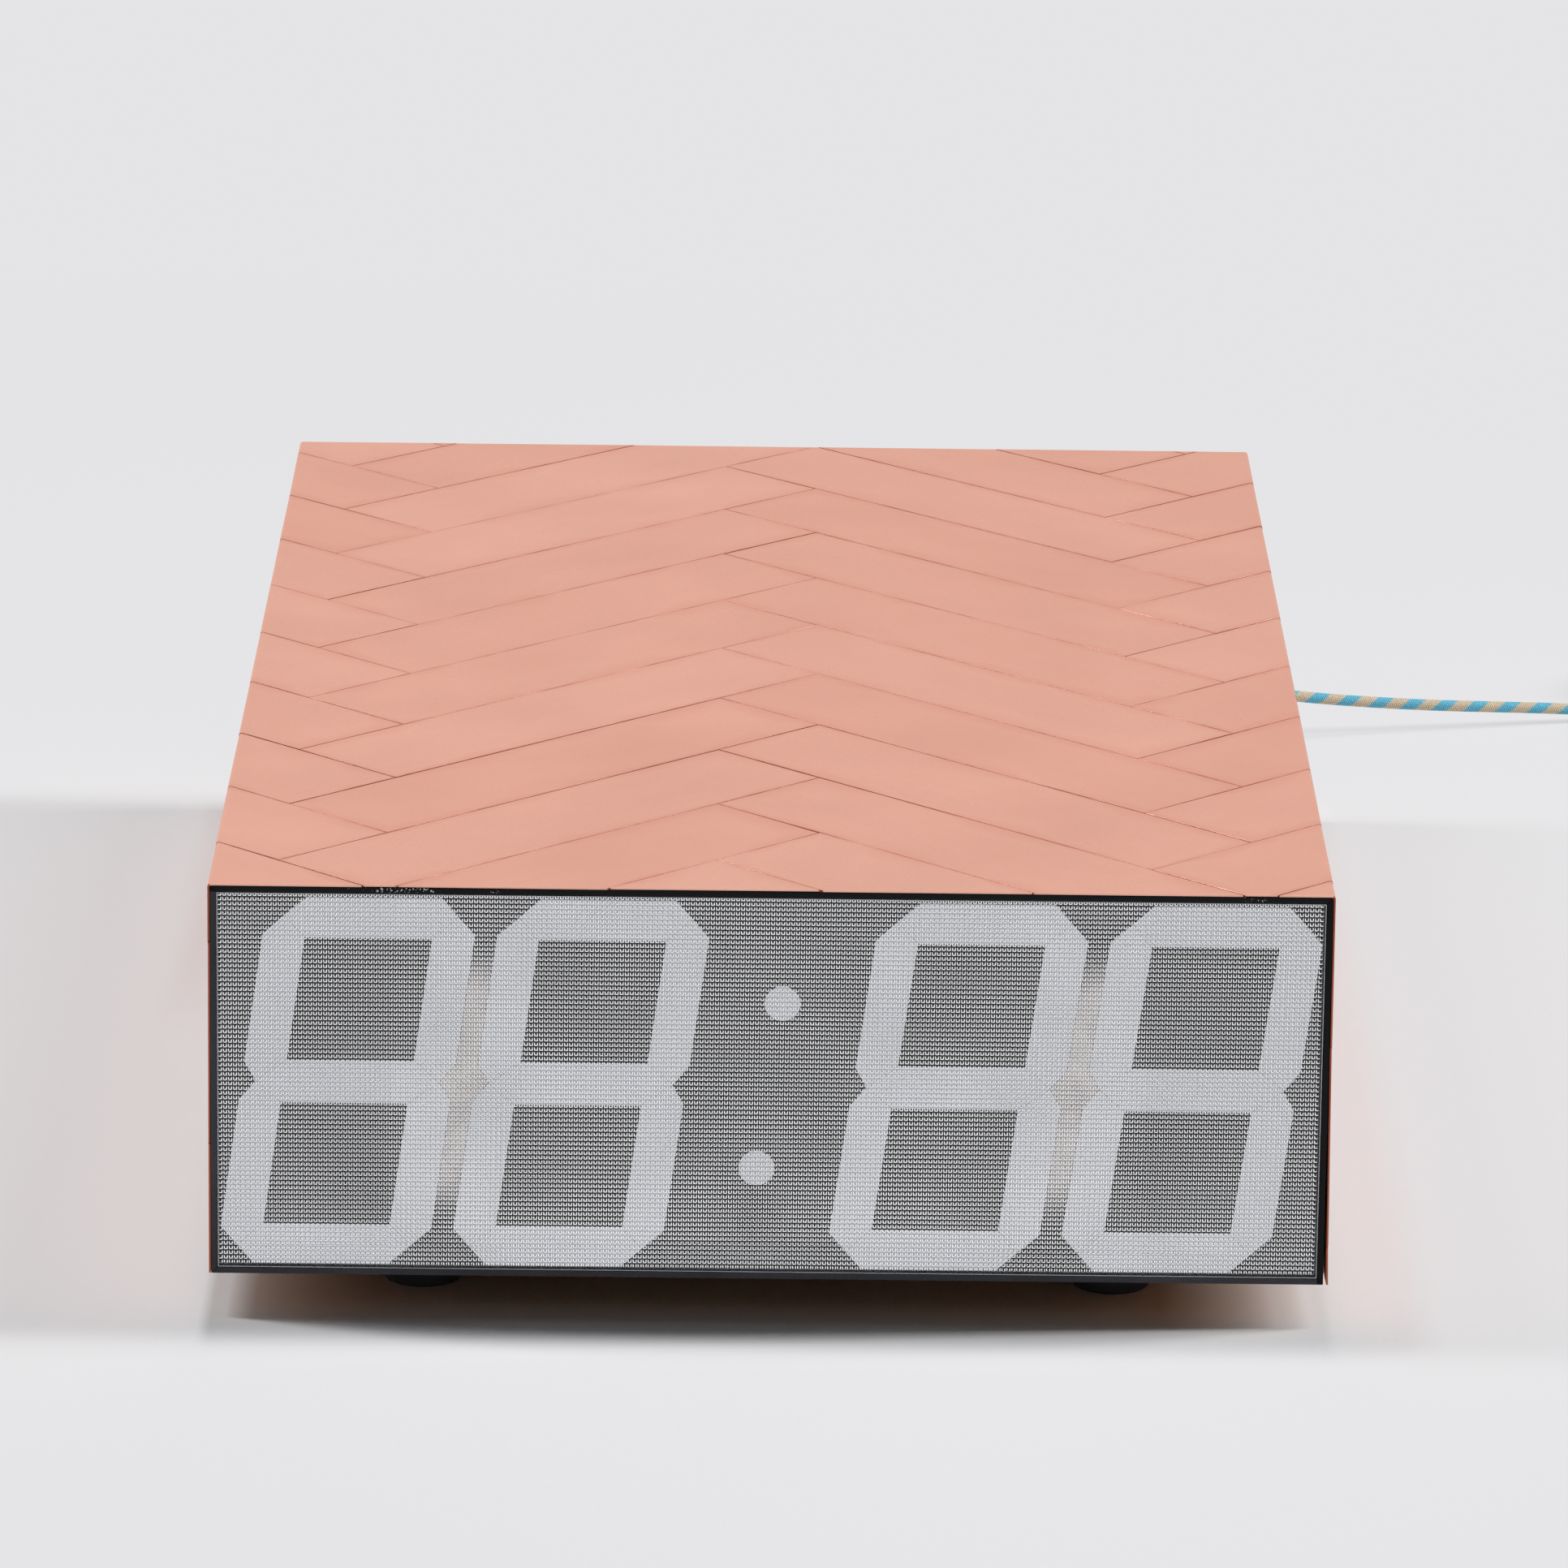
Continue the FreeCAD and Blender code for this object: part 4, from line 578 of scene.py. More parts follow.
def copper_finish(name, settings):
    """Aged, faintly brushed copper: one tone a strip, soft patches, dark seams, painted shade on the front end
    of the long sides, and small stains.
    """
    nodes = Finish(name, Metallic=1.0, Specular_Tint=(1.0, 0.78, 0.70))
    strip = nodes.add("ShaderNodeUVMap", {"uv_map": "strip"}).outputs[0]
    tint = nodes.add("ShaderNodeAttribute", {"attribute_name": "tint"}).outputs["Fac"]
    place = nodes.place()
    brushed = nodes.group(brushed_group(), Vector=strip)
    along, across, _ = nodes.parts(strip)[:3]
    edge = nodes.math(
        "MINIMUM",
        nodes.math("MINIMUM", along, nodes.math("SUBTRACT", settings.strip_length, along)),
        nodes.math("MINIMUM", across, nodes.math("SUBTRACT", settings.strip_width, across)),
    )

    def along_edges(lump, low, near, far):
        """A mask that falls from 1 at a strip's edge to 0 at a distance that wanders from near to far."""
        reach = nodes.span(nodes.noise(place, lump), low, 0.65, near, far)
        return nodes.math("SUBTRACT", 1.0, nodes.math("DIVIDE", edge, reach), clamp=True)

    # Tone: clouds, the strip's own tint, smears along it and fine grain
    clouds = nodes.noise(place, 0.09, 3)
    smears = nodes.noise(nodes.stretched(strip, (9, 40, 1)), 1.0, 3, 0.6)
    share = nodes.plus(nodes.span(clouds, 0.3, 0.7, 0.0, 0.35), nodes.times(tint, 0.5))
    share = nodes.plus(share, nodes.span(smears, 0.3, 0.7, -0.05, 0.15))
    share = nodes.math("ADD", share, nodes.span(brushed["Bands"], 0.0, 1.0, -0.06, 0.06), clamp=True)
    tone = nodes.blend(share, settings.tone, settings.pale_tone)
    grain = nodes.span(nodes.noise(place, 0.0016, 3, 0.65), 0.35, 0.7, 0.0, 0.12)
    tone = nodes.blend(grain, tone, shade(settings.tone, 0.72))
    # Edges: soft stains, dark seams, painted shade on the front edge of the long sides, and specks
    stain = along_edges(0.045, 0.4, 0.0006, 0.013)
    tone = nodes.blend(nodes.times(stain, 0.3), tone, settings.stain_tone)
    openness = nodes.span(nodes.noise(place, 0.11, 1), 0.40, 0.60, 0.70, 1.0)
    seam = nodes.times(along_edges(0.03, 0.35, 0.0002, 0.0008), openness)
    tone = nodes.blend(seam, tone, settings.seam_and_shade_tone)
    side, deep, _ = nodes.parts(nodes.vector("ABSOLUTE", place))[:3]
    # Painted shade: the front end of the copper on the long sides is painted dark red
    painted_shade_front_edge = nodes.times(
        nodes.span(side, CASE_HALF_WIDTH - 0.0003, CASE_HALF_WIDTH + 0.0001),
        nodes.span(deep, BACK_Y - 0.0008, BACK_Y - 0.0004),
        nodes.math("LESS_THAN", nodes.parts(place)[1], 0.0),
    )
    tone = nodes.blend(painted_shade_front_edge, tone, shade(settings.seam_and_shade_tone, 1.3))
    specks = nodes.flecks(0.0011, 0.105)
    tone = nodes.blend(nodes.times(specks, 0.35), tone, shade(settings.seam_and_shade_tone, 2.0))
    lines = brushed["Lines"]
    rough = nodes.plus(nodes.span(clouds, 0.3, 0.7, 0.43, 0.48), nodes.span(lines, 0.0, 1.0, -0.03, 0.03))
    swell = nodes.noise(place, 0.07, 1, 0.4)
    nodes.surface(tone, rough, swell, 0.00009, Normal=nodes.bump(lines, 0.000006))


def acrylic(name, tint):
    """Clear acrylic. Lamps shine through it, so what is behind it is lit."""
    nodes = Finish(
        name, Base_Color=tint, IOR=1.56, Transmission_Weight=1.0, Specular_Tint=(0.25, 0.25, 0.25)
    )
    haze = nodes.noise(nodes.place(), 0.02)
    nodes.feed(nodes.shader, Roughness=nodes.span(haze, 0.3, 0.7, 0.0, 0.03))
    clear = nodes.add("ShaderNodeBsdfTransparent", Color=tint)
    nodes.show_instead(nodes.add("ShaderNodeLightPath").outputs["Is Shadow Ray"], clear)


def smoky_guide(name, tone, dark):
    """Smoky plastic, with painted shade that darkens it towards both ends."""
    nodes = Finish(name, Roughness=0.35)
    place = nodes.place()
    from_middle = nodes.math("ABSOLUTE", nodes.math("SUBTRACT", nodes.parts(place)[2], DIGIT_MIDDLE_Z))
    cloud = nodes.noise(place, 0.012, 3)
    warm = nodes.blend(nodes.span(cloud, 0.3, 0.7), *shades(tone, 0.8, 1.2))
    # Painted shade: towards both ends the pieces fade into the dark of the board
    tone = nodes.blend(nodes.span(from_middle, *PAINTED_SHADE_FADE), warm, dark)
    nodes.feed(nodes.shader, Base_Color=tone, Normal=nodes.bump(cloud, 0.0001))


def bare_wood(name):
    """Planed softwood with its grain along the batten."""
    nodes = Finish(name)
    grain = nodes.noise(nodes.stretched(nodes.place(), (3, 60, 60)), 0.5, 4, 0.6)
    fibre = nodes.noise(nodes.stretched(nodes.place(), (30, 900, 900)), 1.0)
    tone = nodes.blend(nodes.span(grain, 0.35, 0.65), (0.46, 0.30, 0.15), (0.62, 0.46, 0.28))
    nodes.surface(tone, nodes.span(fibre, 0.3, 0.7, 0.55, 0.75), fibre, 0.0001)


def circuit(name):
    """Green solder mask with raised tracks and tinned pads."""
    nodes = Finish(name, Coat_Weight=0.3)
    place = nodes.place()
    across, back, _ = nodes.parts(place)[:3]
    bend = nodes.times(nodes.noise(place, 0.02, 0), 0.012)
    lane = nodes.plus(across, bend, nodes.times(back, 0.2))
    ribs = nodes.math("FRACT", nodes.math("DIVIDE", lane, 0.0025))
    gate = nodes.span(nodes.noise(place, 0.014, 1), 0.46, 0.5)
    track = nodes.times(nodes.within(ribs, 0.35, 0.6, 0.04), gate)
    pads = nodes.flecks(0.0016, 0.2)
    green = nodes.blend(track, (0.012, 0.085, 0.045), (0.03, 0.16, 0.08))
    tone = nodes.blend(pads, green, (0.62, 0.62, 0.6))
    nodes.feed(nodes.shader, Metallic=pads)
    nodes.surface(tone, nodes.span(pads, 0, 1, 0.32, 0.25), nodes.plus(track, pads), 0.00005)


def brushed_metal(name, dark, light, smooth, rough):
    """Bare metal with fine lines."""
    nodes = Finish(name, Metallic=1.0)
    brushed = nodes.group(brushed_group(), Vector=nodes.place())
    level = nodes.plus(nodes.times(brushed["Lines"], 0.5), nodes.times(brushed["Bands"], 0.5))
    tone = nodes.blend(level, dark, light)
    nodes.surface(tone, nodes.span(level, 0.0, 1.0, smooth, rough), brushed["Lines"], 0.00001)


def ribbed_cable(name):
    """Grey flat cable, ribbed once a conductor, with painted shade in the grooves between conductors."""
    nodes = Finish(name)
    place = nodes.place()
    wave = nodes.math("SINE", nodes.times(nodes.parts(place)[0], math.pi / CONDUCTOR_PITCH))
    rib = nodes.math("ABSOLUTE", wave)
    # Painted shade: the grooves between the conductors are darker than the ribs
    tone = nodes.blend(nodes.span(rib, 0.0, 0.5), (0.11, 0.11, 0.12), (0.22, 0.22, 0.235))
    nodes.surface(tone, nodes.span(nodes.noise(place, 0.01), 0.3, 0.7, 0.4, 0.6), rib, 0.0003)


def braid_group():
    """Crossing threads of a braid, from a map of length and turn: a height, and a mask for painted shade
    between the threads.
    """

    def fill(nodes, given):
        along, turn, _ = nodes.parts(given["Map"])[:3]
        step = nodes.math("DIVIDE", along, given["Thread"])
        threads = nodes.times(turn, given["Threads Round"])
        waves = (
            nodes.math("ABSOLUTE", nodes.math("SINE", nodes.times(nodes.math(way, step, threads), math.pi)))
            for way in ("ADD", "SUBTRACT")
        )
        fuzz = nodes.noise(nodes.place(), 0.00035, 2, 0.6)
        height = nodes.plus(nodes.times(*waves), nodes.times(fuzz, 0.5))
        return {"Height": height, "Shade": nodes.span(height, 0.1, 1.2)}

    inputs = {"Map": (0, 0, 0), "Thread": 0.0011, "Threads Round": 8.0}
    return shader_group("Braided threads", inputs, ("Height", "Shade"), fill)


def striped_cloth(name, settings):
    """Braided cloth with one blue and one beige stripe, wound as a helix."""
    nodes = Finish(name, Sheen_Weight=0.25, Specular_IOR_Level=0.25)
    lay = nodes.add("ShaderNodeUVMap", {"uv_map": "lay"}).outputs[0]
    along, turn, _ = nodes.parts(lay)[:3]
    braid = nodes.group(braid_group(), Map=lay)
    wound = nodes.plus(nodes.math("DIVIDE", along, settings.stripe_pitch), turn, settings.stripe_start)
    ragged = nodes.times(nodes.math("SUBTRACT", braid["Height"], 0.5), 0.05)
    phase = nodes.plus(nodes.math("FRACT", wound), ragged)
    tone = nodes.blend(nodes.within(phase, 0.04, 0.50, 0.03), settings.beige, settings.blue)
    # Painted shade: the tone is darkened where the braid is low, between its threads
    dark = nodes.blend(1.0, tone, (0.62, 0.62, 0.62), "MULTIPLY")
    rough = nodes.span(braid["Height"], 0.0, 1.5, 0.9, 0.7)
    nodes.surface(nodes.blend(braid["Shade"], dark, tone), rough, braid["Height"], 0.00025)


def paper_floor(name, tone, far_tone):
    """Pale paper that keeps the object's shadows near it and is evenly bright to the camera further off.

    Rays that came through the prismatic sheet see it even everywhere, and brightest close in front.
    """
    nodes = Finish(name, Specular_IOR_Level=0.15)
    place = nodes.place()
    across, back, _ = nodes.parts(place)[:3]
    paper = nodes.blend(nodes.span(nodes.noise(place, 1.6), 0.3, 0.7), *shades(tone, 0.985, 1.01))
    fibre = nodes.noise(place, 0.002)
    nodes.surface(paper, nodes.span(fibre, 0.3, 0.7, 0.75, 0.85), fibre, 0.00005)
    # The shade is true within 2 cm of the clock. From 5 cm on, half of it or more gives way to an even tone
    beyond = nodes.vector("SUBTRACT", nodes.vector("ABSOLUTE", place), FOOTPRINT)
    beyond = nodes.vector("MAXIMUM", beyond, (0, 0, 0))
    away = nodes.vector("LENGTH", beyond)
    near_share = nodes.span(across, 0.05, 0.3, 0.5, 0.72)
    side_share = nodes.times(nodes.span(across, -0.2, 0.2, 0.5, 0.3), nodes.span(back, 0.0, 0.3, 1.0, 0.0))
    # Beside the long sides it is lightened from the start
    near = nodes.math(
        "MAXIMUM",
        nodes.span(away, 0.02, 0.05, 0.0, near_share),
        nodes.span(nodes.parts(beyond)[0], 0.0, 0.005, 0.0, side_share),
    )
    # From 0.3 to 1.2 m the floor goes all even
    share = nodes.plus(near, nodes.span(away, 0.3, 1.2, 0.0, 0.5))
    rays = nodes.add("ShaderNodeLightPath").outputs
    through = rays["Is Transmission Ray"]
    share = nodes.times(share, nodes.plus(rays["Is Camera Ray"], rays["Is Glossy Ray"]))
    glow = nodes.span(back, -0.73, -0.43, 1.27, 1.42)
    even = nodes.add("ShaderNodeEmission", Strength=nodes.span(through, 0.0, 1.0, 1.0, glow))
    nodes.put(even.inputs["Color"], nodes.blend(through, far_tone, (far_tone[0],) * 3))
    nodes.show_instead(nodes.math("ADD", share, through, clamp=True), even)
    return nodes.material


def finishes():
    """One material for each of the record's slots, made once."""
    if "cloth_cord" in made_finishes:
        return
    for plain_material in bpy.data.materials:
        plain_material.name = "packed_" + plain_material.name
    scene = bpy.context.scene
    look = scene.clock_finish
    painted_board("black_board", look.paint)
    mottled("black_panel", shades(look.paint, 0.9, 1.7), (0.05, 0.0009), (0.5, 0.66), 0.00005)
    mottled("matt_black_board", shades(look.board, 0.8, 1.3), (0.02, 0.0006), (0.6, 0.8), 0.00004)
    bare_wood("bare_wood")
    copper_finish("copper", scene.clock_copper)
    acrylic("clear_acrylic", scene.clock_sheet.tint)
    frost = (0.72, 0.74, 0.76), (0.84, 0.85, 0.87)
    mottled("frosted_edge", frost, (0.01, 0.0005), (0.5, 0.7), 0.00002)
    mottled("white_light_guide", shades(look.guide, 0.96, 1.02), (0.03, 0.001), (0.35, 0.45), 0.00002)
    smoky_guide("smoky_light_guide", look.smoke, look.board)
    circuit("green_circuit")
    amber = (0.72, 0.66, 0.42), (0.86, 0.82, 0.62)
    mottled("led_plastic", amber, (0.003, 0.0005), (0.15, 0.3), 0.00001, Coat_Weight=0.5)
    ivory = (0.66, 0.65, 0.58), (0.74, 0.73, 0.67)
    mottled("nylon", ivory, (0.006, 0.0006), (0.4, 0.55), 0.00002)
    mottled("black_plastic", shades(look.moulding, 0.85, 1.5), (0.012, 0.00035), (0.42, 0.55), 0.00003)
    glossy = shades(look.moulding, 0.9, 1.3)
    mottled("gloss_black_plastic", glossy, (0.01, 0.0008), (0.12, 0.2), 0.000004, Coat_Weight=0.4)
    ribbed_cable("grey_cable")
    cable = (0.012, 0.012, 0.012), (0.022, 0.022, 0.023)
    mottled("black_cable", cable, (0.01, 0.0004), (0.45, 0.6), 0.00003)
    brushed_metal("sheet_aluminium", (0.62, 0.63, 0.64), (0.78, 0.79, 0.8), 0.3, 0.45)
    brushed_metal("zinc_steel", (0.56, 0.57, 0.58), (0.72, 0.73, 0.75), 0.25, 0.4)
    brushed_metal("bright_steel", (0.66, 0.66, 0.66), (0.8, 0.8, 0.79), 0.15, 0.3)
    blackened = (0.02, 0.02, 0.021), (0.04, 0.04, 0.042)
    mottled("black_steel", blackened, (0.004, 0.0003), (0.3, 0.45), 0.00002, Metallic=0.7)
    brushed_metal("spring_steel", (0.36, 0.36, 0.38), (0.5, 0.5, 0.52), 0.25, 0.4)
    mottled("black_rubber", shades(look.rubber, 0.8, 1.6), (0.01, 0.0006), (0.6, 0.8), 0.00006)
    strap = (0.018, 0.018, 0.02), (0.035, 0.035, 0.038)
    mottled("black_strap", strap, (0.004, 0.0004), (0.55, 0.7), 0.00005)
    striped_cloth("cloth_cord", scene.clock_cord)
    brushed_metal("brass", (0.68, 0.5, 0.2), (0.82, 0.66, 0.34), 0.2, 0.35)


def finish_of(node):
    """The material of a node's slot in the record."""
    finishes()
    for entry in frame["record"]["subparts"]:
        if entry["node"] == node:
            return made_finishes[entry["material_slot"]]
    raise RuntimeError(f"the record has no node named {node}")


def body_with(node):
    for body, members in frame["record"]["behaviour"]["bodies"].items():
        if node in members:
            return body
    raise RuntimeError(f"no body holds {node}")


def new_object(name, data):
    piece = bpy.data.objects.new(name, data)
    bpy.context.scene.collection.objects.link(piece)
    return piece


def object_from(bm, name):
    """A new object with the built mesh."""
    mesh = bpy.data.meshes.new(name)
    bm.to_mesh(mesh)
    bm.free()
    return new_object(name, mesh)


def shade_by_angle(mesh, degrees=SHARP_ANGLE):
    mesh.shade_smooth()
    mesh.set_sharp_from_angle(angle=math.radians(degrees))


def bridge(bm, rings):
    """Faces from each ring of corners to the next. A ring may be a single point."""
    faces = []
    for ring, following in zip(rings, rings[1:]):
        for k in range(max(len(ring), len(following))):
            corners = ((ring, k), (ring, k + 1), (following, k + 1), (following, k))
            faces.append(bm.faces.new(dict.fromkeys(each[j % len(each)] for each, j in corners)))
    return faces


def baked(piece):
    """The piece with its modifiers applied to a plain mesh."""
    evaluated = piece.evaluated_get(bpy.context.evaluated_depsgraph_get())
    mesh = bpy.data.meshes.new_from_object(evaluated)
    old = piece.data
    piece.modifiers.clear()
    piece.data = mesh
    bpy.data.meshes.remove(old)
    mesh.name = piece.name
    return piece


def settle(piece, *nodes, rides=True):
    """Gives the piece its node's finish and body, and lets it stand for its nodes."""
    node = nodes[0]
    finish = finish_of(node)
    piece.data.materials.clear()
    piece.data.materials.append(finish)
    if rides:
        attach(piece, body_with(node))
    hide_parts(*nodes)
    return piece


def bevelled(piece, width, segments, degrees):
    """The piece with a bevel on the edges that turn further than that."""
    bevel = piece.modifiers.new("Rounding", "BEVEL")
    bevel.width = width
    bevel.segments = segments
    bevel.limit_method = "ANGLE"
    bevel.angle_limit = math.radians(degrees)
    return baked(piece)


def rounded_copy(node, width, segments=2):
    """A merged copy of a node's mesh with its edges rounded."""
    bm = bmesh.new()
    bm.from_mesh(frame["nodes"][node].data)
    bmesh.ops.remove_doubles(bm, verts=bm.verts, dist=WELD)
    bmesh.ops.dissolve_limit(bm, angle_limit=math.radians(FLAT_ANGLE), verts=bm.verts, edges=bm.edges)
    bmesh.ops.recalc_face_normals(bm, faces=bm.faces)
    piece = bevelled(object_from(bm, "soft_" + node), width, segments, ROUND_ANGLE)
    shade_by_angle(piece.data)
    return settle(piece, node)


def dress(node):
    """Gives a node's own object the finish of its slot."""
    piece = frame["nodes"][node]
    finish = finish_of(node)
    if not piece.material_slots:
        raise RuntimeError(f"{node} has no material slot")
    for holder in piece.material_slots:
        holder.material = finish


def make_camera():
    stage = bpy.context.scene.clock_stage
    pitch, roll, yaw = stage.camera_turn
    data = bpy.data.cameras.new("view")
    data.lens = stage.lens
    data.sensor_width = SENSOR_WIDTH
    data.clip_start, data.clip_end = CLIP_RANGE
    pose = Matrix.Translation(stage.camera_place)
    for angle, axis in ((yaw, "Z"), (math.pi / 2 - pitch, "X"), (roll, "Z")):
        pose = pose @ Matrix.Rotation(angle, 4, axis)
    camera = new_object("view", data)
    camera.matrix_world = pose
    bpy.context.scene.camera = camera


def coil_point(turn):
    """A point of the coil's centre line after so many turns."""
    layer = (COIL_TURNS - COIL_CLIMB) / 2
    outer = COIL_MEAN_RADIUS + layer * COIL_PITCH / 2
    angle = COIL_START + 2 * math.pi * turn
    radius = outer - COIL_PITCH * min(turn, COIL_TURNS - turn)
    climb = min(max((turn - COIL_TURNS / 2) / COIL_CLIMB + 0.5, 0), 1)
    height = COIL_LOW_Z + COIL_PITCH * climb
    around = Vector((math.cos(angle), math.sin(angle), 0))
    return COIL_CENTRE + around * radius + Vector((0, 0, height))


def heading(angle):
    return Vector((-math.sin(angle), math.cos(angle), 0))


def cord_route(diameter):
    """Control points from the strain relief to the plug."""
    entry = coil_point(0) - heading(COIL_START) * diameter
    leave = coil_point(COIL_TURNS) + heading(COIL_END) * diameter
    points = [Vector(p) for p in CORD_RUN]
    points += [entry - heading(COIL_START) * COIL_LEAD, entry]
    count = round(COIL_TURNS * COIL_POINTS_A_TURN)
    points += [coil_point(COIL_TURNS * i / count) for i in range(count + 1)]
    ground = Vector((leave.x, leave.y, PLUG_MIDDLE_Z))
    leads = [heading(COIL_END) * length for length in PLUG_LEAD]
    return points + [leave, leave + leads[0], ground + leads[1], ground + leads[2]]


def cord_line(points):
    """The smooth line of the cord, read from one NURBS spline through its route."""
    data = bpy.data.curves.new("cord_guide", "CURVE")
    data.dimensions = "3D"
    data.resolution_u = CORD_STEPS
    spline = data.splines.new("NURBS")
    spline.points.add(len(points) - 1)
    for control, point in zip(spline.points, points):
        control.co = (*point, 1)
    spline.order_u = 3
    spline.use_endpoint_u = True
    guide = new_object("cord_guide", data)
    mesh = bpy.data.meshes.new_from_object(guide)
    line = [vertex.co.copy() for vertex in mesh.vertices]
    bpy.data.objects.remove(guide)
    bpy.data.meshes.remove(mesh)
    return line


def swept_tube(name, line, radius, sides):
    """A closed tube along the line, with a map of length and turn for its pattern."""
    bm = bmesh.new()
    layer = bm.loops.layers.uv.new("lay")
    last = len(line) - 1
    tangents = [(line[min(i + 1, last)] - line[max(i - 1, 0)]).normalized() for i in range(last + 1)]
    angles = [2 * math.pi * k / sides for k in range(sides)]
    side = tangents[0].orthogonal().normalized()
    rings, lengths = [], [0.0]
    for i, (point, tangent) in enumerate(zip(line, tangents)):
        side = (side - tangent * side.dot(tangent)).normalized()
        other = tangent.cross(side)
        spokes = [side * math.cos(angle) + other * math.sin(angle) for angle in angles]
        rings.append([bm.verts.new(point + spoke * radius) for spoke in spokes])
        if i:
            lengths.append(lengths[-1] + (point - line[i - 1]).length)
    for index, face in enumerate(bridge(bm, rings)):
        i, k = divmod(index, sides)
        for loop, (r, c) in zip(face.loops, ((i, k), (i, k + 1), (i + 1, k + 1), (i + 1, k))):
            loop[layer].uv = (lengths[r], c / sides)
    bm.faces.new(list(reversed(rings[0])))
    bm.faces.new(rings[-1])
    bmesh.ops.recalc_face_normals(bm, faces=bm.faces)
    piece = object_from(bm, name)
    piece.data.shade_smooth()
    return piece


def make_cord():
    settings = bpy.context.scene.clock_cord
    line = cord_line(cord_route(settings.diameter))
    cord = swept_tube("striped_cord", line, settings.diameter / 2, CORD_SIDES)
    settle(cord, "cord_run", "cord_coil", "cord_tail")
    fittings = [
        rounded_copy("plug_body", 0.0009, 3),
        rounded_copy("plug_blades", 0.0003),
        rounded_copy("coil_tie", 0.00015, 1),
        rounded_copy("strain_relief", 0.0003),
    ]
    rounded_copy("cord_gland", 0.0004)


def strip_corners(column, settings):
    """Corner, length direction and width direction of each strip of one column, laid out flat."""
    reach = (settings.strip_length + settings.seam) / math.sqrt(2)
    step = (settings.strip_width + settings.seam) / math.sqrt(2)
    rising = column % 2 == 0
    x = HERRINGBONE_X + column * reach + (step if rising else 0)
    y = FRONT_Y + HERRINGBONE_Y + (step if rising else reach)
    along = Vector((1, 1 if rising else -1, 0)).normalized()
    across = Vector((-1 if rising else 1, 1, 0)).normalized()
    count = math.ceil((BACK_Y - FRONT_Y + 2 * reach) / (2 * step))
    lowest = math.ceil((y - FRONT_Y + reach) / (2 * step))
    for i in range(-lowest, count):
        yield Vector((x, y + i * 2 * step, 0)) + (along + across) * (settings.seam / 2), along, across


def lifted_corner(side, y, down):
    """How far the copper has come away from the case near its lower front corner on the right."""
    if side < 0:
        return 0
    low_share = max(0, down - (CASE_HEIGHT - LIFTED_HEIGHT)) / LIFTED_HEIGHT
    front_share = max(0, FRONT_Y + LIFTED_DEPTH - y) / LIFTED_DEPTH
    return CORNER_LIFT * low_share * front_share


def folded(flat, depth, settings):
    """A point of the flat pattern, that far below the outer surface, folded over the long edges."""
    radius = settings.fold_radius
    slack = radius - (COPPER_HALF_WIDTH - CASE_HALF_WIDTH)
    side = 1 if flat.x > 0 else -1
    out = abs(flat.x) - (CASE_HALF_WIDTH - slack)
    if out <= 0:
        return Vector((flat.x, flat.y, COPPER_TOP_Z - depth))
    if out >= 2 * slack:
        down = abs(flat.x) - CASE_HALF_WIDTH
        lift = lifted_corner(side, flat.y, down)
        return Vector((side * (COPPER_HALF_WIDTH - depth + lift), flat.y, TOP_Z - down))
    angle = out / (2 * slack) * math.pi / 2
    reach = radius - depth
    x = COPPER_HALF_WIDTH - radius + reach * math.sin(angle)
    return Vector((side * x, flat.y, COPPER_TOP_Z - radius + reach * math.cos(angle)))


def cut(bm, point, normal, drop=False):
    """Cuts the mesh along a plane, and drops what lies beyond it if that is wanted."""
    bmesh.ops.bisect_plane(
        bm, geom=bm.verts[:] + bm.edges[:] + bm.faces[:], dist=CUT_REACH,
        plane_co=point, plane_no=normal, clear_outer=drop,
    )


def cut_strip(corners, settings, front):
    """The strip's flat outline inside the case's pattern, cut where it folds."""
    bm = bmesh.new()
    bm.faces.new([bm.verts.new(corner) for corner in corners])
    limit = CASE_HALF_WIDTH + CASE_HEIGHT
    for side in (1, -1):
        cut(bm, (side * limit, 0, 0), (side, 0, 0), drop=True)
    cut(bm, (0, BACK_Y, 0), (0, 1, 0), drop=True)
    cut(bm, (0, front, 0), (0, -1, 0), drop=True)
    slack = settings.fold_radius - (COPPER_HALF_WIDTH - CASE_HALF_WIDTH)
    for side in (-1, 1):
        for i in range(FOLD_STEPS + 1):
            cut(bm, (side * (CASE_HALF_WIDTH - slack + 2 * slack * i / FOLD_STEPS), 0, 0), (1, 0, 0))
    return bm


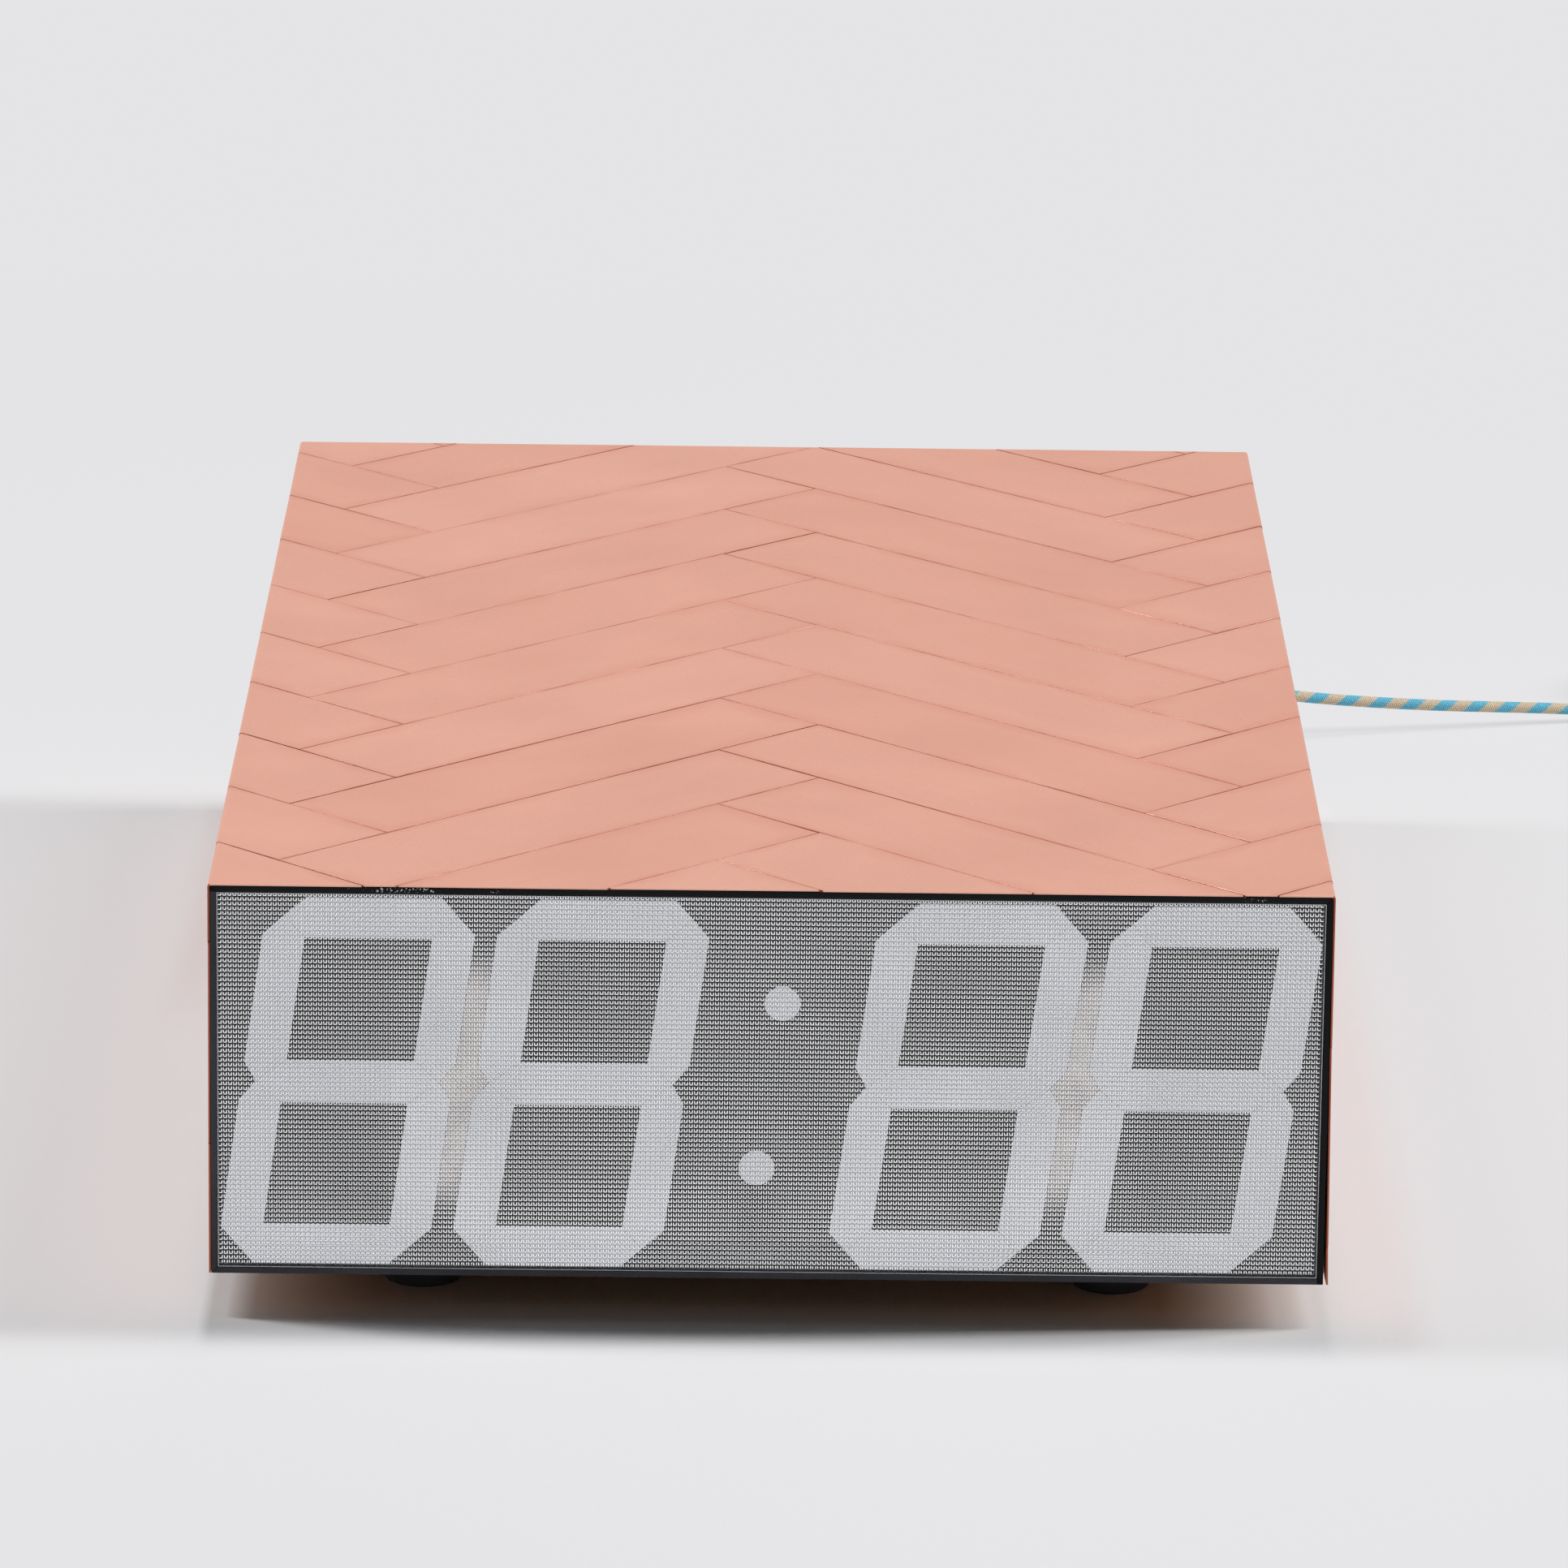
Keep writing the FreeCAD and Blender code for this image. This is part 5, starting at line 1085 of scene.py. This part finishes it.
def add_strip(solid, layers, place, settings, chance):
    """One strip, a little off its place and height, added to the column's mesh."""
    corner, along, across = place
    length, width, thick = settings.strip_length, settings.strip_width, settings.thickness
    # These draws come in a fixed order, which decides how the strips look
    spin = Matrix.Rotation(chance.uniform(-STRIP_TURN, STRIP_TURN), 3, "Z")
    middle = corner + along * (length / 2) + across * (width / 2)
    shifts = [chance.uniform(-most, most) for most in STRIP_SHIFTS]
    shift = along * shifts[0] + across * shifts[1]
    sides = ((0, 0), (length, 0), (length, width), (0, width))
    outline = [corner + along * u + across * v for u, v in sides]
    outline = [middle + shift + spin @ (point - middle) for point in outline]
    front = FRONT_Y + chance.choice(FRONT_SETBACKS)
    base = chance.uniform(*STRIP_DEPTHS) * settings.unevenness
    tilt = [chance.uniform(-STRIP_TILT, STRIP_TILT) * settings.unevenness for _ in range(2)]
    tint = chance.random()
    flat = cut_strip(outline, settings, front)
    if not flat.faces:
        flat.free()
        return
    uv, tone = layers

    def drop(point):
        u = (point - middle).dot(along) / (length / 2)
        v = (point - middle).dot(across) / (width / 2)
        return max(0.0, base + tilt[0] * u + tilt[1] * v)

    def map_of(point):
        return (point - corner).dot(along), (point - corner).dot(across)

    outer = {v: solid.verts.new(folded(v.co, drop(v.co), settings)) for v in flat.verts}
    inner = {v: solid.verts.new(folded(v.co, drop(v.co) + thick, settings)) for v in flat.verts}
    faces = []
    for face in flat.faces:
        ring = list(face.verts)
        if face.normal.z < 0:
            ring.reverse()
        faces.append(([outer[v] for v in ring], [v.co for v in ring]))
        faces.append(([inner[v] for v in reversed(ring)], [v.co for v in reversed(ring)]))
        for first, second in zip(ring, ring[1:] + ring[:1]):
            edge = flat.edges.get((first, second))
            if len(edge.link_faces) == 1:
                quad = [outer[second], outer[first], inner[first], inner[second]]
                faces.append((quad, [second.co, first.co, first.co, second.co]))
    for ring, places in faces:
        made = solid.faces.new(ring)
        for loop, point in zip(made.loops, places):
            loop[uv].uv = map_of(point)
        for vert in ring:
            vert[tone] = tint
    flat.free()


def make_copper():
    settings = bpy.context.scene.clock_copper
    chance = random.Random(settings.seed)
    for node, columns in COPPER_COLUMNS.items():
        solid = bmesh.new()
        layers = solid.loops.layers.uv.new("strip"), solid.verts.layers.float.new("tint")
        for column in columns:
            for place in strip_corners(column, settings):
                add_strip(solid, layers, place, settings, chance)
        piece = bevelled(object_from(solid, "strips_" + node), settings.softness, 1, STRIP_ANGLE)
        shade_by_angle(piece.data, STRIP_SHARP_ANGLE)
        settle(piece, node)


def make_case():
    for node in ("top_board", "bottom_board", "left_board", "right_board"):
        rounded_copy(node, 0.0003)
    rounded_copy("display_board", 0.0002, 1)


def pit_cell(land, floor):
    """One cell of the sheet's back, one metre square: flat land on two sides of a blunt pyramid pit."""
    bm = bmesh.new()
    grid = {(x, y): bm.verts.new((x, y, 0)) for y in (0, land, 1) for x in (0, land, 1)}
    middle = (1 + land) / 2
    near, far = middle - floor / 2, middle + floor / 2
    rim = [grid[k] for k in ((land, land), (1, land), (1, 1), (land, 1))]
    base = [bm.verts.new((x, y, -1)) for x, y in ((near, near), (far, near), (far, far), (near, far))]
    bm.faces.new([grid[k] for k in ((0, 0), (land, 0), (1, 0), (1, land), (land, land), (0, land))])
    bm.faces.new([grid[k] for k in ((0, land), (land, land), (land, 1), (0, 1))])
    bm.faces.new(base)
    bridge(bm, [rim, base])
    return object_from(bm, "pit_cell")


def pit_maker():
    """Repeats the cell over the sheet."""
    counts = dict.fromkeys(("Columns", "Rows"), "Int")
    sizes = dict.fromkeys(("Width", "Height", "Depth"), "Float")
    nodes = Maker("Prismatic back", Cell="Object", **counts, **sizes)
    given = nodes.given
    pitch_x = nodes.math("DIVIDE", given["Width"], given["Columns"])
    pitch_y = nodes.math("DIVIDE", given["Height"], given["Rows"])
    grid = nodes.add(
        "GeometryNodeMeshGrid",
        Size_X=nodes.math("SUBTRACT", given["Width"], pitch_x),
        Size_Y=nodes.math("SUBTRACT", given["Height"], pitch_y),
        Vertices_X=given["Columns"],
        Vertices_Y=given["Rows"],
    )
    cell = nodes.add("GeometryNodeObjectInfo", Object=given["Cell"])
    size = nodes.add("ShaderNodeCombineXYZ", X=pitch_x, Y=pitch_y, Z=given["Depth"])
    spread = nodes.add(
        "GeometryNodeInstanceOnPoints",
        Points=grid.outputs["Mesh"], Instance=cell.outputs["Geometry"], Scale=size.outputs[0],
    )
    real = nodes.add("GeometryNodeRealizeInstances", Geometry=spread.outputs[0])
    joined = nodes.add("GeometryNodeMergeByDistance", Geometry=real.outputs[0], Distance=CELL_JOIN)
    return nodes.close(joined.outputs[0])


def close_front(bm, thickness):
    """Walls from the rim of the pitted face to one flat front face."""
    rim = [edge for edge in bm.edges if len(edge.link_faces) == 1]
    points = {vert for edge in rim for vert in edge.verts}
    (left, right), (base, top) = (
        (min(values), max(values)) for values in ([vert.co[axis] for vert in points] for axis in (0, 1))
    )
    corners = [Vector(corner) for corner in ((left, base), (right, base), (right, top), (left, top))]
    front = [bm.verts.new((*corner, -thickness)) for corner in corners]
    for i, corner in enumerate(corners):
        lead = (corners[(i + 1) % 4] - corner).normalized()
        level = Vector((-lead.y, lead.x))
        row = [v for v in points if abs((v.co.xy - corner).dot(level)) < LINE_REACH]
        row.sort(key=lambda v: v.co.xy.dot(lead))
        bm.faces.new([front[i], front[(i + 1) % 4]] + list(reversed(row)))
    bm.faces.new(front)
    bmesh.ops.recalc_face_normals(bm, faces=bm.faces)


def make_rim(corner, far, width):
    """The sawn edge of the sheet: a thin frosted band all round it."""
    bm = bmesh.new()
    rings = []
    for inset, y in ((0, corner.y), (0, far.y), (width, far.y), (width, corner.y)):
        left, right, base, top = corner.x + inset, far.x - inset, corner.z + inset, far.z - inset
        places = ((left, base), (right, base), (right, top), (left, top))
        rings.append([bm.verts.new((x, y, z)) for x, z in places])
    bridge(bm, rings + rings[:1])
    bmesh.ops.recalc_face_normals(bm, faces=bm.faces)
    piece = settle(object_from(bm, "prism_sheet_rim"), "prismatic_sheet")
    piece.data.materials[0] = made_finishes["frosted_edge"]


def make_sheet():
    settings = bpy.context.scene.clock_sheet
    corner, far = (Vector(point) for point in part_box("prismatic_sheet"))
    make_rim(corner, far, settings.rim)
    inset = Vector((settings.rim + RIM_GAP, 0, settings.rim + RIM_GAP))
    corner, far = corner + inset, far - inset
    width, thickness, height = far - corner
    parting = corner.x + settings.split * width / settings.columns
    cell = pit_cell(settings.land, settings.floor)
    cell.data.transform(Matrix.Translation((-0.5, -0.5, 0)))
    maker = pit_maker()
    stand = Matrix(((-1, 0, 0), (0, 0, 1), (0, 1, 0))).to_4x4()
    halves = {
        "left": (settings.split, corner.x, parting),
        "right": (settings.columns - settings.split, parting, far.x),
    }
    for side, (columns, start, end) in halves.items():
        piece = new_object("prism_sheet_" + side, bpy.data.meshes.new("prism_sheet_" + side))
        maker.run(
            piece, Cell=cell, Columns=columns, Rows=settings.rows, Width=end - start, Height=height,
            Depth=settings.depth, Finish=finish_of("prismatic_sheet"),
        )
        bm = bmesh.new()
        bm.from_mesh(piece.data)
        close_front(bm, thickness)
        bm.to_mesh(piece.data)
        bm.free()
        place = Matrix.Translation(((start + end) / 2, far.y, (corner.z + far.z) / 2))
        piece.data.transform(place @ stand)
        settle(piece, "prismatic_sheet")
    bpy.data.objects.remove(cell)


def make_digits():
    for i in range(1, 5):
        dress(f"digit_{i}_segments")
    dress("digit_bridges")
    rounded_copy("colon_dots", 0.0002)


def make_feet():
    rounded_copy("rubber_feet", 0.0011, 3)
    rounded_copy("foot_screws", 0.0002)
    rounded_copy("foot_washers", 0.00015)


def screw_shape(head, shank, length):
    """One countersunk cross-head screw, its head at the origin and its point down -Z."""
    bm = bmesh.new()
    neck = -(head - shank) / 2 - SCREW_LEAN
    profile = [
        (0, 0), (head * SCREW_TOP_SHARE, 0), (head / 2, -SCREW_LEAN), (shank / 2, neck),
        (shank / 2, SCREW_TAPER - length), (SCREW_POINT, -length), (0, -length),
    ]
    rings = []
    for radius, z in profile:
        turns = [2 * math.pi * k / SCREW_SIDES for k in range(SCREW_SIDES if radius else 1)]
        rings.append([bm.verts.new((radius * math.cos(a), radius * math.sin(a), z)) for a in turns])
    bridge(bm, rings)
    bmesh.ops.recalc_face_normals(bm, faces=bm.faces)
    screw = object_from(bm, "screw_shape")
    cross = bmesh.new()
    long, short, deep = CROSS_SIZE
    for size in ((long, short, deep), (short, long, deep)):
        bmesh.ops.create_cube(cross, size=1, matrix=Matrix.Diagonal((*size, 1)))
    cutter = object_from(cross, "screw_cross")
    slot = screw.modifiers.new("Cross", "BOOLEAN")
    slot.object = cutter
    slot.operation = "DIFFERENCE"
    slot.solver = "EXACT"
    slot.use_self = True
    baked(screw)
    bpy.data.objects.remove(cutter)
    shade_by_angle(screw.data)
    return screw


def screw_maker():
    """Puts a screw on every point, each turned its own way."""
    nodes = Maker("Screws on points", Screw="Object", Seed="Int")
    screw = nodes.add("GeometryNodeObjectInfo", Object=nodes.given["Screw"])
    turn = nodes.add("FunctionNodeRandomValue", {"data_type": "FLOAT"}, Seed=nodes.given["Seed"])
    largest = turn.inputs[3]
    largest.default_value = math.pi
    lean = nodes.add("ShaderNodeCombineXYZ", X=-math.pi / 2)
    spin = nodes.add("ShaderNodeCombineXYZ", Z=turn.outputs[1])
    spread = nodes.add(
        "GeometryNodeInstanceOnPoints",
        Points=nodes.given["Geometry"], Instance=screw.outputs["Geometry"], Rotation=lean.outputs[0],
    )
    turned = nodes.add("GeometryNodeRotateInstances", Instances=spread.outputs[0], Rotation=spin.outputs[0])
    return nodes.close(nodes.add("GeometryNodeRealizeInstances", Geometry=turned.outputs[0]).outputs[0])


def make_back():
    rounded_copy("back_panel", 0.0004)
    rounded_copy("rear_battens", 0.0005, 1)
    corner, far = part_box("back_panel")
    x, lowest, highest = far.x - SCREW_EDGE, corner.z + SCREW_EDGE, far.z - SCREW_EDGE
    places = [(side * x, z) for side in (-1, 1) for z in (lowest, (lowest + highest) / 2, highest)]
    places += [(0, lowest), (0, highest)]
    points = bpy.data.meshes.new("panel_screws")
    points.from_pydata([(px, far.y, pz) for px, pz in places], [], [])
    screws = new_object("panel_screws", points)
    screw = screw_shape(head=0.007, shank=0.0034, length=0.0175)
    screw_maker().run(screws, Screw=screw, Seed=SCREW_SEED, Finish=finish_of("back_panel_screws"))
    bpy.data.objects.remove(screw)
    settle(screws, "back_panel_screws")


def make_spring(name):
    """A finished copy of a button's spring, which rides on no body and keeps its rest length."""
    node = f"{name}_button_spring"
    spring = new_object("soft_" + node, frame["nodes"][node].data.copy())
    settle(spring, node, rides=False)
    middle = (low(node) + high(node)) / 2
    inner, outer = ((middle.x, corner(node).y, middle.z) for corner in (low, high))
    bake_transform(spring)


def make_controls():
    rounded_copy("button_bodies", 0.0003)
    rounded_copy("rocker_housing", 0.0004)
    rounded_copy("power_rocker", 0.0004, 3)
    for name in ("hour", "minute", "dimmer"):
        rounded_copy(f"{name}_button_cap", 0.00025)
        make_spring(name)
    rounded_copy("panel_nuts", 0.0003)
    dress("rocker_pin")


def make_inside():
    shown = {obj.get("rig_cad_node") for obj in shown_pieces()}
    for node in frame["nodes"]:
        if node in shown:
            dress(node)


def area_lamp(name, place, size, power, glints=True):
    """A rectangular lamp that faces the clock. Without glints, no surface mirrors it."""
    data = bpy.data.lights.new(name, "AREA")
    data.shape = "RECTANGLE"
    data.size, data.size_y = size
    data.energy = power
    lamp = new_object(name, data)
    lamp.location = place
    lamp.visible_glossy = glints
    lamp.rotation_euler = (LAMP_TARGET - lamp.location).to_track_quat("-Z", "Y").to_euler()


def make_floor(stage):
    bm = bmesh.new()
    bmesh.ops.create_circle(bm, cap_ends=True, segments=FLOOR_SIDES, radius=stage.floor_radius)
    floor = object_from(bm, "paper_floor")
    floor.data.transform(Matrix.Translation(FLOOR_PLACE))
    floor.data.materials.append(paper_floor("pale_paper", stage.floor, stage.far_floor))
    floor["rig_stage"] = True


def make_world(stage):
    """A pale room: camera, metal and glass see its colour, and the object gets a plain soft light."""
    world = bpy.data.worlds.new("pale_room")
    world.use_nodes = True
    nodes = Nodes(world.node_tree)
    background = world.node_tree.nodes["Background"]
    nodes.put(background.inputs["Color"], stage.room)
    rays = nodes.add("ShaderNodeLightPath").outputs
    seen = nodes.plus(rays["Is Camera Ray"], rays["Is Glossy Ray"])
    seen = nodes.math("ADD", seen, rays["Is Transmission Ray"], clamp=True)
    nodes.put(background.inputs["Strength"], nodes.span(seen, 0, 1, stage.room_light, 1.0))
    bpy.context.scene.world = world


def make_stage():
    scene = bpy.context.scene
    stage = scene.clock_stage
    scene.view_settings.view_transform = "Standard"
    make_floor(stage)
    make_world(stage)
    reach = stage.lamp_distance
    # Name, degrees from upright towards the right, place in Y, depth, power, and whether surfaces mirror it
    for name, degrees, y, depth, power, glints in (
        ("left", -34, 0.52, 0.6, stage.left_power, True),
        ("left_low", -62, 0.3, 0.4, stage.left_low_power, False),
        ("right", 34, 0.4, 0.6, stage.right_power, True),
        ("right_low", 62, 0.12, 0.4, stage.right_low_power, False),
    ):
        turn = math.radians(degrees)
        place = (reach * math.sin(turn), y, reach * math.cos(turn))
        area_lamp(name, place, (depth, LAMP_LENGTH), power, glints)
    area_lamp("front", FRONT_LAMP * reach, FRONT_LAMP_SIZE, stage.front_power)


class ClockOperator:
    """What every step of the build shares."""

    bl_options = {"REGISTER", "UNDO"}

    def execute(self, context):
        self.step()
        return {"FINISHED"}


class CLOCK_OT_camera(ClockOperator, Operator):
    """Places the camera at the photograph's viewing angle"""

    bl_idname = "clock.camera"
    bl_label = "Camera"
    step = staticmethod(make_camera)


class CLOCK_OT_cord(ClockOperator, Operator):
    """Lays the striped cloth cord, its coil, plug, tie and strain relief"""

    bl_idname = "clock.cord"
    bl_label = "Cord"
    step = staticmethod(make_cord)


class CLOCK_OT_case(ClockOperator, Operator):
    """Softens the edges of the black case boards"""

    bl_idname = "clock.case"
    bl_label = "Case"
    step = staticmethod(make_case)


class CLOCK_OT_copper(ClockOperator, Operator):
    """Lays the herringbone of copper strips and folds it over the long edges"""

    bl_idname = "clock.copper"
    bl_label = "Copper strips"
    step = staticmethod(make_copper)


class CLOCK_OT_sheet(ClockOperator, Operator):
    """Makes the clear sheet with small pits in its back"""

    bl_idname = "clock.sheet"
    bl_label = "Prismatic sheet"
    step = staticmethod(make_sheet)


class CLOCK_OT_digits(ClockOperator, Operator):
    """Finishes the digits, the colon and what joins them"""

    bl_idname = "clock.digits"
    bl_label = "Digits"
    step = staticmethod(make_digits)


class CLOCK_OT_feet(ClockOperator, Operator):
    """Makes the rubber feet with their screws and washers"""

    bl_idname = "clock.feet"
    bl_label = "Feet"
    step = staticmethod(make_feet)


class CLOCK_OT_back(ClockOperator, Operator):
    """Makes the back panel, its battens and its screws"""

    bl_idname = "clock.back"
    bl_label = "Back panel"
    step = staticmethod(make_back)


class CLOCK_OT_controls(ClockOperator, Operator):
    """Makes the set buttons and the power switch"""

    bl_idname = "clock.controls"
    bl_label = "Controls"
    step = staticmethod(make_controls)


class CLOCK_OT_inside(ClockOperator, Operator):
    """Finishes the electronics inside the case"""

    bl_idname = "clock.inside"
    bl_label = "Electronics"
    step = staticmethod(make_inside)


class CLOCK_OT_stage(ClockOperator, Operator):
    """Makes the pale floor, the room and the lamps"""

    bl_idname = "clock.stage"
    bl_label = "Stage"
    step = staticmethod(make_stage)


STEPS = (
    CLOCK_OT_camera,
    CLOCK_OT_cord,
    CLOCK_OT_case,
    CLOCK_OT_copper,
    CLOCK_OT_sheet,
    CLOCK_OT_digits,
    CLOCK_OT_feet,
    CLOCK_OT_back,
    CLOCK_OT_controls,
    CLOCK_OT_inside,
    CLOCK_OT_stage,
)

SETTINGS = {
    "clock_copper": ClockCopper,
    "clock_sheet": ClockSheet,
    "clock_cord": ClockCord,
    "clock_finish": ClockFinish,
    "clock_stage": ClockStage,
}


class CLOCK_PT_build(Panel):
    """Lists the steps of the build and their settings."""

    bl_idname = "CLOCK_PT_build"
    bl_label = "Floor clock"
    bl_space_type = "VIEW_3D"
    bl_region_type = "UI"
    bl_category = "Floor clock"

    def draw(self, context):
        for step in STEPS:
            self.layout.operator(step.bl_idname)
        for holder, group in SETTINGS.items():
            part = self.layout.box()
            part.label(text=group.__doc__)
            for name in group.__annotations__:
                part.prop(getattr(context.scene, holder), name)


def register():
    for group in SETTINGS.values():
        bpy.utils.register_class(group)
    for holder, group in SETTINGS.items():
        setattr(bpy.types.Scene, holder, PointerProperty(type=group))
    for step in STEPS:
        bpy.utils.register_class(step)
    bpy.utils.register_class(CLOCK_PT_build)


def unregister():
    bpy.utils.unregister_class(CLOCK_PT_build)
    for step in reversed(STEPS):
        bpy.utils.unregister_class(step)
    for holder, group in SETTINGS.items():
        delattr(bpy.types.Scene, holder)
        bpy.utils.unregister_class(group)


def main():
    register()
    for step in STEPS:
        group, name = step.bl_idname.split(".")
        getattr(getattr(bpy.ops, group), name)()


if __name__ == "__main__":
    main()
